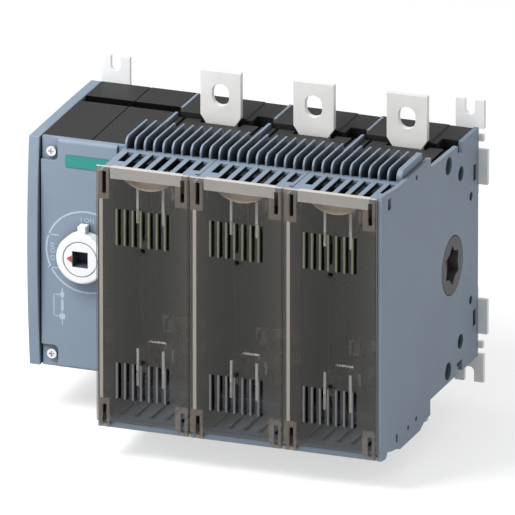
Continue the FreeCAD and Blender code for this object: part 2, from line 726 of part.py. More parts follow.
def jaw_bar_outline():
    """The side outline of the bar that joins a jaw to its knife in the switching chamber."""
    dx = JAW_BAR_OUTER[0] - JAW_BAR_INNER[0]
    dz = JAW_BAR_OUTER[1] - JAW_BAR_INNER[1]
    length = math.hypot(dx, dz)
    nx, nz = dz / length * JAW_BAR_HALF, -dx / length * JAW_BAR_HALF
    inner_low = (JAW_BAR_INNER[0] + nx, JAW_BAR_INNER[1] + nz)
    inner_high = (JAW_BAR_INNER[0] - nx, JAW_BAR_INNER[1] - nz)
    low = JAW_BAR_OUTER[1] - JAW_BAR_HALF
    low_depth = inner_low[0] + (low - inner_low[1]) * dx / dz
    high = JAW_BAR_OUTER[1] + JAW_BAR_HALF
    high_depth = inner_high[0] + (high - inner_high[1]) * dx / dz
    outer = [(low_depth, low), (BASE_FRONT, low), (BASE_FRONT, high), (high_depth, high)]
    return [inner_low, *outer, inner_high]


def jaw_bar(x_middle, extra=0.0):
    """The jaw's bar as a flat plate; extra widens it for the room that the base leaves."""
    half = KNIFE_T / 2 + extra
    return side_prism(jaw_bar_outline(), x_middle - half, x_middle + half)


def terminal_knife(x_knife, extra=0.0):
    """The fixed knife that reaches from the tab's root into the switching chamber."""
    half = KNIFE_T / 2 + extra
    middle = PLATFORM_BACK + TAB_T / 2
    reach = KNIFE_W / 2
    return box(x_knife - half, x_knife + half, middle - reach, middle + reach, KNIFE_TIP, TAB_ROOT + TAB_T)


def terminal_room(x_middle, x_knife):
    """The room that the contact base leaves for a terminal, with a pocket round the tab's foot."""
    half = TAB_W / 2 - TAB_FOOT_X + INNER_GAP
    front = PLATFORM_BACK + TAB_T
    seat = box(x_middle - half, x_middle + half, PLATFORM_BACK, front, TAB_ROOT, PLATFORM_HEIGHT + 1)
    side = TAB_W / 2
    low = PLATFORM_HEIGHT - POCKET_DEPTH
    reach = front + POCKET_REACH
    pocket = box(x_middle - side, x_middle + side, PLATFORM_BACK, reach, low, PLATFORM_HEIGHT + 1)
    return join([seat, pocket, terminal_knife(x_knife, INNER_GAP)])


def oblong(x, z, d0, d1, width, height):
    """An upright oblong hole drawn out along the depth."""
    radius = width / 2
    reach = height / 2 - radius
    core = box(x - radius, x + radius, d0, d1, z - reach, z + reach)
    ends = [bar_y(x, z + sign * reach, d0, d1, radius) for sign in (1, -1)]
    return join([core] + ends)


def terminal(index, top=True):
    """A plated terminal: an upright tab with an oblong hole and a narrowed foot, and the fixed knife."""
    x = pole_centre(index)
    side = -1 if top else 1
    half = TAB_W / 2
    foot = half - TAB_FOOT_X
    waist = PLATFORM_HEIGHT + TAB_FOOT_Z
    rise = [(half, TAB_TOP), (half, waist), (foot, PLATFORM_HEIGHT), (foot, TAB_ROOT)]
    outline = [(x + dx, z) for dx, z in rise] + [(x - dx, z) for dx, z in reversed(rise)]
    tab = front_prism(outline, PLATFORM_BACK, PLATFORM_BACK + TAB_T)
    body = join([tab, terminal_knife(x + side * CONTACT_OFFSET)])
    front = PLATFORM_BACK + TAB_T + 1
    body = body.cut(oblong(x, TERMINAL_HOLE_Z, PLATFORM_BACK - 1, front, TERMINAL_HOLE_W, TERMINAL_HOLE_H))
    return body if top else mirror_z(body)


def contact_base(index):
    """The black base of a pole: platforms, seats for the rear covers and the switching chamber."""
    left, right = inner_span(index)
    x0, x1 = left + INNER_GAP, right - INNER_GAP
    half_profile = [
        (0, 0),
        (0, REAR_SEAT),
        (LID_FRONT, REAR_SEAT),
        (LID_FRONT, GROOVE_FLOOR),
        (PLATFORM_BACK, GROOVE_FLOOR),
        (PLATFORM_BACK, PLATFORM_HEIGHT),
        (BASE_FRONT, PLATFORM_HEIGHT),
        (BASE_FRONT, 0),
    ]
    upper = side_prism(half_profile, x0, x1)
    body = join([upper, mirror_z(upper)])
    x = pole_centre(index)
    cuts = [bar_x(x0 - 1, x1 + 1, SHAFT_DEPTH, 0, CHAMBER_R)]
    cuts.append(terminal_room(x, x - CONTACT_OFFSET))
    cuts.append(mirror_z(terminal_room(x, x + CONTACT_OFFSET)))
    for start in (left + CHANNEL_INSET, right - CHANNEL_INSET - CHANNEL_W):
        low = PLATFORM_HEIGHT - CHANNEL_DROP
        channel = box(start, start + CHANNEL_W, PLATFORM_BACK - 1, HOOD_BACK, low, PLATFORM_HEIGHT + 1)
        cuts += [channel, mirror_z(channel)]
    cuts.append(jaw_bar(x - CONTACT_OFFSET, INNER_GAP))
    cuts.append(mirror_z(jaw_bar(x + CONTACT_OFFSET, INNER_GAP)))
    for d, z in tie_places():
        cuts.append(bar_x(x0 - 1, x1 + 1, d, z, TIE_ROD_R + INNER_GAP))
        if index == POLE_COUNT - 1:
            cuts.append(bar_x(x1 - TIE_HEAD_L - INNER_GAP, x1 + 1, d, z, TIE_HEAD_R))
    for screw_x in foot_screw_places():
        for sign in (1, -1):
            cuts.append(bar_y(screw_x, sign * FOOT_SCREW_Z, -1, FOOT_SCREW_LENGTH, FOOT_SCREW_R))
    return body.cut(cuts)


def rear_cover(index, top=True):
    """A black snap cover over the rear of a pole, lower and notched at its right end."""
    left, right = inner_span(index)
    x0, x1 = left + INNER_GAP, right - INNER_GAP
    lid = side_prism(
        [
            (0, REAR_SEAT),
            (0, BODY_HALF_HEIGHT - BODY_CHAMFER),
            (BODY_CHAMFER, BODY_HALF_HEIGHT),
            (LID_FRONT, BODY_HALF_HEIGHT),
            (LID_FRONT, REAR_SEAT),
        ],
        x0,
        x1,
    )
    high = BODY_HALF_HEIGHT + 1
    notch = box(x1 - LID_NOTCH_W, x1 + 1, LID_NOTCH_FRONT, LID_FRONT + 1, REAR_SEAT - 1, high)
    step = box(x1 - LID_STEP_W, x1 + 1, -1, LID_FRONT + 1, BODY_HALF_HEIGHT - LID_STEP, high)
    lid = lid.cut([notch, step])
    return lid if top else mirror_z(lid)


def jaw_line(side):
    """The plan line of one jaw arm, from its root to the flared tip."""
    pinch = (JAW_PINCH_GAP + JAW_T) / 2
    return [
        (side * JAW_ROOT_HALF, BASE_FRONT + JAW_T / 2),
        (side * JAW_ROOT_HALF, JAW_ROOT_FRONT),
        (side * pinch, JAW_PINCH_BACK),
        (side * pinch, JAW_PINCH_FRONT),
        (side * JAW_TIP_HALF, JAW_TIP_DEPTH),
    ]


def shifted(points, x):
    """Plan points moved along X."""
    return [(px + x, d) for px, d in points]


def jaw_bridge(x, z):
    """A small plate across both arms on the lower jaw's upper edges, which stops the fuse's blade."""
    back = JAW_PINCH_FRONT - BRIDGE_OVERLAP
    return box(x - BRIDGE_HALF, x + BRIDGE_HALF, back, back + BRIDGE_L, z, z + BRIDGE_T)


def fuse_jaw(index, top=True):
    """A lyre contact for the fuse's blade, with the bar and knife behind it."""
    x = pole_centre(index)
    low, high = JAW_TOP_SPAN if top else JAW_BOTTOM_SPAN
    half = JAW_BASE_W / 2
    pieces = [box(x - half, x + half, BASE_FRONT, BASE_FRONT + JAW_T, low, high)]
    for arm_side in (1, -1):
        outline = shifted(ribbon(jaw_line(arm_side), JAW_T), x)
        pieces.append(plan_prism(outline, low, high))
    if top:
        pieces.append(jaw_bar(x - CONTACT_OFFSET))
    else:
        pieces.append(mirror_z(jaw_bar(x + CONTACT_OFFSET)))
        pieces.append(jaw_bridge(x, high))
    return join(pieces)


def jaw_springs():
    """Steel leaves that press every jaw arm from outside."""
    leaves = []
    shift = (JAW_T + SPRING_T) / 2
    for index in range(POLE_COUNT):
        for arm_side in (1, -1):
            line = jaw_line(arm_side)[:4]
            line[0] = (line[0][0], BASE_FRONT + JAW_T)
            outline = shifted(ribbon(line, SPRING_T, -arm_side * shift), pole_centre(index))
            for span in (JAW_TOP_SPAN, JAW_BOTTOM_SPAN):
                middle = sum(span) / 2
                leaves.append(plan_prism(outline, middle - SPRING_W / 2, middle + SPRING_W / 2))
    return leaves


def arc_plate(x0, x1, start_deg, end_deg, inner, outer):
    """A flat ring sector around the switch shaft; 0 degrees points to the rear."""
    axis = FreeCAD.Vector(1, 0, 0)
    centre = FreeCAD.Vector(0, SHAFT_Y, 0)
    corners = [(x0, inner), (x1, inner), (x1, outer), (x0, outer)]
    ring = [FreeCAD.Vector(x, SHAFT_Y + radius, 0) for x, radius in corners]
    face = Part.Face(Part.makePolygon(ring + ring[:1]))
    face.rotate(centre, axis, start_deg)
    return face.revolve(centre, axis, end_deg - start_deg)


def rotor_blades(index):
    """The moving blades of a pole: one pair bridges the line side and one the load side."""
    blades = []
    x = pole_centre(index)
    rest = -SWITCH_ANGLE_DEG
    spans = {
        -1: (BLADE_START_DEG + rest, BLADE_END_DEG + rest),
        1: (360 - BLADE_END_DEG + rest, 360 - BLADE_START_DEG + rest),
    }
    inner_face = KNIFE_T / 2 + KNIFE_CLEARANCE
    for side, (start, end) in spans.items():
        middle = x + side * CONTACT_OFFSET
        for x in (middle + inner_face, middle - inner_face - BLADE_T):
            blades.append(arc_plate(x, x + BLADE_T, start, end, ROTOR_R, BLADE_R))
    return blades


def rotor_span(index):
    """Left and right X of a rotor's drum."""
    left, right = inner_span(index)
    return left + ROTOR_SIDE_GAP, right - ROTOR_SIDE_GAP


def contact_rotor(index):
    """A moulded rotor that carries the blades, with its journal in the wall on its left."""
    x0, x1 = rotor_span(index)
    drum = bar_x(x0, x1, SHAFT_DEPTH, 0, ROTOR_R)
    reach = WALL_T + ROTOR_SIDE_GAP
    journal = bar_x(x0 - reach, x0, SHAFT_DEPTH, 0, JOURNAL_R)
    body = join([drum, journal])
    return body.cut(square_bar_x(x0 - reach - 1, x1 + 1, SHAFT_DEPTH, 0, SHAFT_SQUARE))


def shaft_ends():
    """Left and right X of the square switch shaft."""
    left = DRUM_X + GEAR_PITCH_R + GEAR_BACK_T - GEAR_FACE
    return left, RIGHT_X - STAR_DEPTH - 1


def switch_shaft():
    """The square bar through all rotors, from the driven gear to the coupling hub."""
    x0, x1 = shaft_ends()
    return square_bar_x(x0, x1, SHAFT_DEPTH, 0, SHAFT_SQUARE)


def coupling_hub():
    """The hub in the end plate, with a star socket for an added switching module."""
    x1 = RIGHT_X
    x0 = rotor_span(POLE_COUNT - 1)[1]
    hub = bar_x(x0, x1, SHAFT_DEPTH, 0, HUB_R)
    points = []
    for i in range(2 * STAR_POINTS):
        radius = STAR_TIP_R if i % 2 == 0 else STAR_VALLEY_R
        angle = math.radians(90 + i * 180 / STAR_POINTS)
        points.append((SHAFT_DEPTH + radius * math.cos(angle), radius * math.sin(angle)))
    socket = side_prism(points, x1 - STAR_DEPTH, x1 + 1)
    seat = square_bar_x(x0 - 1, shaft_ends()[1], SHAFT_DEPTH, 0, SHAFT_SQUARE)
    return hub.cut([socket, seat])


def gear_tooth(scale, half_root, half_tip, base):
    """One end outline of a mitre tooth on the +X side of a gear whose axis is Z and apex the origin."""
    normal = math.sqrt(0.5)
    rim = GEAR_PITCH_R
    tip = (rim + TOOTH_HEIGHT * normal, -rim + TOOTH_HEIGHT * normal)
    root = (rim - base * normal, -rim - base * normal)
    points = [
        FreeCAD.Vector(root[0] * scale, -half_root * scale, root[1] * scale),
        FreeCAD.Vector(tip[0] * scale, -half_tip * scale, tip[1] * scale),
        FreeCAD.Vector(tip[0] * scale, half_tip * scale, tip[1] * scale),
        FreeCAD.Vector(root[0] * scale, half_root * scale, root[1] * scale),
    ]
    return Part.makePolygon(points + points[:1])


def mitre_gear(turn_deg):
    """A mitre gear on the Z axis, its apex at the origin and its back below it."""
    arc = 2 * math.pi * GEAR_PITCH_R / GEAR_TEETH
    half_root = arc * TOOTH_SHARE / 2 * 1.5
    half_tip = arc * TOOTH_TIP_SHARE / 2
    cone = math.hypot(GEAR_PITCH_R, GEAR_PITCH_R)
    inner = (cone - GEAR_FACE) / cone
    normal = math.sqrt(0.5)
    root_r = GEAR_PITCH_R - TOOTH_ROOT * normal
    root_z = -GEAR_PITCH_R - TOOTH_ROOT * normal
    back = root_z - GEAR_BACK_T
    profile = [
        FreeCAD.Vector(0, 0, back),
        FreeCAD.Vector(root_r, 0, back),
        FreeCAD.Vector(root_r, 0, root_z),
        FreeCAD.Vector(root_r * inner, 0, root_z * inner),
        FreeCAD.Vector(0, 0, root_z * inner),
    ]
    face = Part.Face(Part.makePolygon(profile + profile[:1]))
    blank = face.revolve(FreeCAD.Vector(0, 0, 0), FreeCAD.Vector(0, 0, 1), 360)
    teeth = []
    for i in range(GEAR_TEETH):
        outer_wire = gear_tooth(1.0, half_root, half_tip, TOOTH_ROOT + 0.6)
        inner_wire = gear_tooth(inner, half_root, half_tip, TOOTH_ROOT + 0.6)
        tooth = Part.makeLoft([outer_wire, inner_wire], True, True)
        tooth.rotate(FreeCAD.Vector(0, 0, 0), FreeCAD.Vector(0, 0, 1), turn_deg + i * 360 / GEAR_TEETH)
        teeth.append(tooth)
    return blank.multiFuse(teeth).removeSplitter()


def drive_gear():
    """The mitre gear behind the drum, its axis along the depth."""
    gear = mitre_gear(0.0)
    # The gear's back faces the front of the device
    gear.rotate(FreeCAD.Vector(0, 0, 0), FreeCAD.Vector(1, 0, 0), -90)
    gear.translate(FreeCAD.Vector(DRUM_X, SHAFT_Y, 0))
    bore = bar_y(DRUM_X, 0, SHAFT_DEPTH, MECH_DEPTH, DRUM_SHAFT_R)
    return gear.cut(bore)


def driven_gear():
    """The mitre gear on the switch shaft, half a tooth out of step with the drive gear."""
    gear = mitre_gear(180 / GEAR_TEETH)
    # The gear's back faces the poles
    gear.rotate(FreeCAD.Vector(0, 0, 0), FreeCAD.Vector(0, 1, 0), -90)
    gear.translate(FreeCAD.Vector(DRUM_X, SHAFT_Y, 0))
    x0 = shaft_ends()[0]
    return gear.cut(square_bar_x(x0, MECH_RIGHT_X, SHAFT_DEPTH, 0, SHAFT_SQUARE))


def gear_face_depth():
    """Depth of the drive gear's inner end, where the drum's shaft may begin."""
    return SHAFT_DEPTH + GEAR_PITCH_R + TOOTH_ROOT - GEAR_FACE


def operating_drum():
    """The round drum with its square drive hole and the shaft that carries the drive gear."""
    front = MECH_DEPTH + DRUM_PROUD
    knob = bar_y(DRUM_X, 0, MECH_DEPTH + DRUM_CLEARANCE, front, DRUM_R)
    flat = [edge for edge in knob.Edges if edge.BoundBox.YLength < 0.01]
    rim = [edge for edge in flat if abs(edge.BoundBox.YMin - depth(front)) < 0.01]
    knob = knob.makeFillet(DRUM_ROUND, rim)
    neck = bar_y(DRUM_X, 0, MECH_DEPTH - FRONT_PLATE_T - NECK_REACH, MECH_DEPTH + DRUM_CLEARANCE, DRUM_NECK_R)
    shaft = bar_y(DRUM_X, 0, gear_face_depth(), MECH_DEPTH - FRONT_PLATE_T, DRUM_SHAFT_R)
    half_lug = DRUM_LUG_W / 2
    lug_top = DRUM_R + DRUM_LUG_H
    lug_back = MECH_DEPTH + DRUM_CLEARANCE
    lug = box(DRUM_X - half_lug, DRUM_X + half_lug, lug_back, lug_back + DRUM_LUG_DEPTH, DRUM_NECK_R, lug_top)
    drum = join([knob, neck, shaft, lug])
    half = DRIVE_SQUARE / 2
    hole = box(DRUM_X - half, DRUM_X + half, front - DRIVE_DEPTH, front + 1, -half, half)
    groove = bar_y(DRUM_X, 0, front - FACE_GROOVE_DEPTH, front + 1, FACE_GROOVE_R + FACE_GROOVE_W / 2)
    groove = groove.cut(bar_y(DRUM_X, 0, front - 1, front + 1, FACE_GROOVE_R - FACE_GROOVE_W / 2))
    return drum.cut([hole, groove])


def pointer_arrow():
    """A flat arrowhead on the drum's face that points away from the drive hole."""
    front = MECH_DEPTH + DRUM_PROUD
    tail = DRUM_X - DRIVE_SQUARE / 2 - POINTER_GAP
    outline = [(tail, -POINTER_HALF), (tail, POINTER_HALF), (tail - POINTER_LENGTH, 0)]
    return front_prism(outline, front, front + POINTER_T)


def mech_span():
    """Left and right X of the black cases, between the side shell and the first pole."""
    return MECH_LEFT_X + SIDE_SHELL_T, MECH_RIGHT_X


def gear_room():
    """The free room round the two gears and their shafts."""
    r = GEAR_PITCH_R + TOOTH_HEIGHT + GEAR_ROOM
    front_room = bar_y(DRUM_X, 0, SHAFT_DEPTH - 2, MECH_DEPTH, r)
    side_room = bar_x(DRUM_X, MECH_RIGHT_X - 3, SHAFT_DEPTH, 0, r)
    bearing = bar_x(MECH_RIGHT_X - 4, MECH_RIGHT_X + 1, SHAFT_DEPTH, 0, JOURNAL_R + JOURNAL_CLEARANCE)
    apex = Part.makeSphere(r, FreeCAD.Vector(DRUM_X, SHAFT_Y, 0))
    return [front_room, side_room, bearing, apex]


def mech_crest(sign):
    """The case's top (1) or bottom (-1) outline in front of the groove; it sinks a little forwards."""
    high = sign * BODY_HALF_HEIGHT
    return [(GROOVE_START + GROOVE_W, high), (MECH_DEPTH - FRONT_PLATE_T, high - MECH_SINK)]


def mech_case(left_half):
    """One half of the mechanism's black case, with half of the gear room."""
    x0, x1 = mech_span()
    split = MECH_LEFT_X + CASE_SPLIT
    x0, x1 = (x0, split) if left_half else (split + CASE_SPLIT_GAP, x1)
    front = MECH_DEPTH - FRONT_PLATE_T
    outline = []
    for sign in (1, -1):
        high = sign * BODY_HALF_HEIGHT
        floor = sign * (BODY_HALF_HEIGHT - GROOVE_H)
        groove = [(0, high), (GROOVE_START, high), (GROOVE_START, floor), (GROOVE_START + GROOVE_W, floor)]
        outline += (groove + mech_crest(sign))[::sign]
    body = side_prism(outline, x0, x1)
    cuts = gear_room()
    for x, z in mech_screw_places():
        cuts.append(bar_y(x, z, front - SCREW_LENGTH, front + 1, SCREW_SHANK_R))
    for x in foot_screw_places():
        for sign in (1, -1):
            cuts.append(bar_y(x, sign * FOOT_SCREW_Z, -1, FOOT_SCREW_LENGTH, FOOT_SCREW_R))
    return body.cut(cuts)


def mech_side_shell():
    """The blue-grey shell on the far left, with a front edge that swells at mid-height."""
    x0, x1 = MECH_LEFT_X, MECH_LEFT_X + SIDE_SHELL_T

    def place(point):
        return FreeCAD.Vector(x0, depth(point[0]), point[1])

    top, low = (mech_crest(sign) for sign in (1, -1))
    top_front = (MECH_DEPTH, top[-1][1])
    low_front = (MECH_DEPTH, low[-1][1])
    rim = [low_front, *low[::-1], (0, -BODY_HALF_HEIGHT), (0, BODY_HALF_HEIGHT), *top, top_front]
    edges = [Part.makeLine(place(a), place(b)) for a, b in zip(rim, rim[1:])]
    swell = (MECH_DEPTH + SIDE_SHELL_BULGE, -MECH_SINK)
    edges.append(Part.Arc(place(top_front), place(swell), place(low_front)).toShape())
    return Part.Face(Part.Wire(edges)).extrude(FreeCAD.Vector(x1 - x0, 0, 0))


def mech_screw_places():
    """X and Z of the four screws that hold the front plate."""
    x0, x1 = mech_span()
    places = (x0 + SCREW_INSET, x1 - SCREW_INSET)
    return [(x, sign * SCREW_Z - MECH_SINK) for x in places for sign in (1, -1)]


def screw_notches():
    """The corner recesses of the front plate, open to its outer edges, in which the screws sit."""
    x0, x1 = mech_span()
    floor = MECH_DEPTH - SCREW_NOTCH_DEPTH
    low = BODY_HALF_HEIGHT - SCREW_NOTCH_H
    notches = []
    for edge, inner in ((x0, x0 + SCREW_NOTCH_W), (x1, x1 - SCREW_NOTCH_W)):
        notch = box(edge, inner, floor, MECH_DEPTH + 1, low, BODY_HALF_HEIGHT + 1)
        corner = [
            side
            for side in notch.Edges
            if side.BoundBox.YLength > SCREW_NOTCH_DEPTH
            and abs(side.BoundBox.XMin - inner) < 0.01
            and abs(side.BoundBox.ZMin - low) < 0.01
        ]
        notch = notch.makeFillet(SCREW_NOTCH_R, corner)
        notches += [notch, mirror_z(notch)]
    for notch in notches:
        notch.translate(FreeCAD.Vector(0, 0, -MECH_SINK))
    return notches


def mech_front_plate():
    """The blue-grey front plate with corner recesses for its screws and the drum's opening."""
    x0, x1 = mech_span()
    back = MECH_DEPTH - FRONT_PLATE_T
    plate = box(x0 + SHADOW_GAP, x1, back, MECH_DEPTH, -BODY_HALF_HEIGHT, BODY_HALF_HEIGHT)
    plate.translate(FreeCAD.Vector(0, 0, -MECH_SINK))
    front = depth(MECH_DEPTH) + 0.1
    level = [edge for edge in plate.Edges if edge.BoundBox.XLength > 1 and edge.BoundBox.YMin < front]
    plate = plate.makeFillet(FRONT_PLATE_ROUND, level)
    cuts = [bar_y(DRUM_X, 0, back - 1, MECH_DEPTH + 1, DRUM_NECK_R + DRUM_CLEARANCE)]
    for x, z in mech_screw_places():
        cuts.append(bar_y(x, z, back - 1, MECH_DEPTH + 1, SCREW_SHANK_R))
    return plate.cut(cuts + screw_notches())


def cross_recess(x, z, front):
    """The cross-shaped recess of a screw head."""
    arm, half = SCREW_CROSS_L / 2, SCREW_CROSS_W / 2
    bars = [
        box(x - arm, x + arm, front - 1, front + 1, z - half, z + half),
        box(x - half, x + half, front - 1, front + 1, z - arm, z + arm),
    ]
    return join(bars)


def mech_screws():
    """The four cross-recess screws of the front plate."""
    screws = []
    seat = MECH_DEPTH - SCREW_NOTCH_DEPTH
    for x, z in mech_screw_places():
        head = bar_y(x, z, seat, seat + SCREW_HEAD_H, SCREW_HEAD_R)
        shank = bar_y(x, z, MECH_DEPTH - FRONT_PLATE_T - SCREW_LENGTH, seat, SCREW_SHANK_R)
        screws.append(join([head, shank]).cut(cross_recess(x, z, seat + SCREW_HEAD_H)))
    return screws


def label_plate():
    """A small bare plate on the front plate."""
    x = MECH_LEFT_X + LABEL_FROM_LEFT
    half_w, half_h = LABEL_W / 2, LABEL_H / 2
    return box(x - half_w, x + half_w, MECH_DEPTH, MECH_DEPTH + LABEL_T, LABEL_Z - half_h, LABEL_Z + half_h)


def foot_screw_places():
    """X of the foot screws on the left and the right."""
    reach = MOUNT_SPACING_X / 2
    return (-reach, reach)


def mount_foot(right, top):
    """A folded-sheet foot with an open fork for the mounting screw and a lug at its side."""
    x = MOUNT_SPACING_X / 2
    half = FORK_W / 2
    back, front = -FOOT_T, 0
    edge = RIGHT_X - FOOT_EDGE_INSET
    plate_top = BODY_HALF_HEIGHT - FOOT_PLATE_DROP
    plate = box(x - half - FOOT_REACH_IN, edge, back, front, FOOT_LOW, plate_top)
    neck = box(x - half, edge, back, front, FOOT_LOW, FORK_TOP)
    fork = box(x - half, x + half, back, front, FORK_NECK, FORK_TOP)
    lug = box(x, RIGHT_X + LUG_OUT, back, front, *LUG_SPAN)
    tooth = box(x, RIGHT_X + TOOTH_OUT, back, front, *TOOTH_SPAN)
    body = join([plate, neck, fork, lug, tooth])
    slot_half = FORK_SLOT_W / 2
    slot = box(x - slot_half, x + slot_half, back - 1, front + 1, FORK_SLOT_BOTTOM + slot_half, FORK_TOP + 1)
    slot_end = bar_y(x, FORK_SLOT_BOTTOM + slot_half, back - 1, front + 1, slot_half)
    screw = bar_y(x, FOOT_SCREW_Z, back - 1, front + 1, FOOT_SCREW_R)
    sink = Part.makeCone(
        FOOT_SCREW_HEAD_R,
        FOOT_SCREW_R,
        FOOT_T * FOOT_SINK_SHARE,
        FreeCAD.Vector(x, depth(back), FOOT_SCREW_Z),
        FreeCAD.Vector(0, -1, 0),
    )
    body = body.cut([slot, slot_end, screw, sink])
    if not right:
        body = body.mirror(FreeCAD.Vector(0, 0, 0), FreeCAD.Vector(1, 0, 0))
    return body if top else mirror_z(body)


def foot_screws():
    """The countersunk screws that hold the four feet to the housing."""
    screws = []
    for x in foot_screw_places():
        for sign in (1, -1):
            z = sign * FOOT_SCREW_Z
            shank = bar_y(x, z, -FOOT_T, FOOT_SCREW_LENGTH, FOOT_SCREW_R)
            head = Part.makeCone(
                FOOT_SCREW_HEAD_R,
                FOOT_SCREW_R,
                FOOT_T * FOOT_SINK_SHARE,
                FreeCAD.Vector(x, depth(-FOOT_T), z),
                FreeCAD.Vector(0, -1, 0),
            )
            screws.append(join([shank, head]))
    return screws


def cover_span(index):
    """Left and right X of a cover's front plate, which overhangs the wall on its left."""
    half_gap = COVER_GAP / 2
    return wall_x(index) - COVER_SHIFT + half_gap, wall_x(index + 1) - COVER_SHIFT - half_gap


def vent_cuts(index):
    """Two groups of upright vent slots; the middle one is short, to leave room for the probe hole."""
    cuts = []
    middle = pole_centre(index) - FACE_SHIFT
    back, front = FRONT_DEPTH - 1, COVER_FRONT + 1
    for (low, high), side in ((VENT_TOP, 1), (VENT_BOTTOM, -1)):
        for i in range(VENT_COUNT):
            x = middle + (i - (VENT_COUNT - 1) / 2) * VENT_PITCH
            short = VENT_SHORT if i == VENT_COUNT // 2 else 0
            low_end = low + short if side > 0 else low
            high_end = high if side > 0 else high - short
            cuts.append(box(x - VENT_W / 2, x + VENT_W / 2, back, front, low_end, high_end))
    return cuts


def probe_places():
    """Heights of the two probe holes, beside the short ends of the middle vents."""
    return VENT_TOP[0] + VENT_SHORT - PROBE_FROM_SLOT, VENT_BOTTOM[1] - VENT_SHORT + PROBE_FROM_SLOT


def scoop(index):
    """The smile-shaped thickening below the grip bar."""
    x = pole_centre(index) + (GRIP_LEFT_INSET - GRIP_RIGHT_INSET) / 2

    def place(dx, z):
        return FreeCAD.Vector(x + dx, depth(FRONT_DEPTH + COVER_CLEARANCE), z)

    left = place(-SCOOP_HALF, GRIP_BOTTOM)
    right = place(SCOOP_HALF, GRIP_BOTTOM)
    arc = Part.Arc(left, place(0, GRIP_BOTTOM - SCOOP_DROP), right).toShape()
    face = Part.Face(Part.Wire([arc, Part.makeLine(right, left)]))
    return face.extrude(FreeCAD.Vector(0, SCOOP_DEPTH, 0))


def cover_leg(start, end):
    """One hinge leg of a cover: its web behind the plate and the eye round the pin."""
    leg = box(start, end, HINGE_DEPTH, COVER_FRONT, HINGE_Z, COVER_BOTTOM + LEG_OVERLAP)
    eye = bar_x(start, end, HINGE_DEPTH, HINGE_Z, HINGE_R)
    arm = box(start, end, HINGE_DEPTH, COVER_FRONT, HINGE_Z - 1, HINGE_Z + HINGE_R)
    return [leg, eye, arm]


def cover_slots(index):
    """The latch slots in the four corners of a cover."""
    back, front = FRONT_DEPTH, COVER_FRONT + 1
    half = LATCH_SLOT_W / 2
    cuts = []
    for x in (wall_x(index) + LATCH_SLOT_INSET, wall_x(index + 1) - LATCH_SLOT_INSET):
        middle = x - FACE_SHIFT
        for low, high in (LATCH_SLOT_TOP, LATCH_SLOT_BOTTOM):
            cuts.append(box(middle - half, middle + half, back, front, low, high))
    return cuts


def fuse_cover(index):
    """A clear smoked cover: front plate, side skirts, grip, vents and the legs of its hinge."""
    x0, x1 = cover_span(index)
    back = FRONT_DEPTH + COVER_CLEARANCE
    plate = box(x0, x1, back, COVER_FRONT, COVER_BOTTOM, COVER_TOP)
    tall = [edge for edge in plate.Edges if edge.BoundBox.ZLength > COVER_TOP]
    upright = [edge for edge in tall if edge.CenterOfMass.y < depth(back) - COVER_T / 2]
    plate = plate.makeFillet(COVER_ROUND, upright)
    grip_x0 = wall_x(index) + GRIP_LEFT_INSET
    grip_x1 = wall_x(index + 1) - GRIP_RIGHT_INSET
    grip = box(grip_x0, grip_x1, back - GRIP_DEPTH, back, GRIP_BOTTOM, COVER_TOP)
    rib = box(grip_x0, grip_x0 + GRIP_RIB_T, back - GRIP_DEPTH, back, GRIP_BOTTOM - GRIP_RIB_H, GRIP_BOTTOM)
    pieces = [plate, grip, rib, scoop(index)]
    skirt_low = COVER_BOTTOM + SKIRT_FOOT_GAP
    skirt_high = SHELF_TOP - SHELF_T - SKIRT_HEAD_GAP
    tab_low = COVER_BOTTOM - LEG_DROP
    left, right = skirt_spans(index)
    for start, end in (left, right):
        pieces.append(box(start, end, back - SKIRT_DEPTH, back, skirt_low, skirt_high))
        pieces += cover_leg(start, end)
    for start, end in ((left[0], left[0] + LEG_W), (right[1] - LEG_W, right[1])):
        pieces.append(box(start, end, back, COVER_FRONT, tab_low, COVER_BOTTOM + 1))
    cuts = vent_cuts(index) + cover_slots(index)
    x = pole_centre(index) - FACE_SHIFT
    for z in probe_places():
        pieces.append(bar_y(x, z, back, COVER_FRONT + PROBE_RING_H, PROBE_RING_R))
        cuts.append(bar_y(x, z, back - 1, COVER_FRONT + 1 + PROBE_RING_H, PROBE_R))
    cuts.append(bar_x(x0 - 1, x1 + 1, HINGE_DEPTH, HINGE_Z, HINGE_PIN_R))
    return join(pieces).cut(cuts)


def hinge_pin(index):
    """The steel pin through the cover's legs and the housing's barrel."""
    x0, x1 = hinge_span(index)
    reach = HINGE_END_GAP + SKIRT_T
    return bar_x(x0 - reach, x1 + reach, HINGE_DEPTH, HINGE_Z, HINGE_PIN_R)


def save(name, shapes):
    """Write one node's solids to its STEP file."""
    group = shapes if isinstance(shapes, list) else [shapes]
    solids = [solid for shape in group for solid in shape.Solids]
    result = solids[0] if len(solids) == 1 else Part.makeCompound(solids)
    if not result.isValid():
        print("not valid:", name)
    result.exportStep("parts/" + name + ".step")


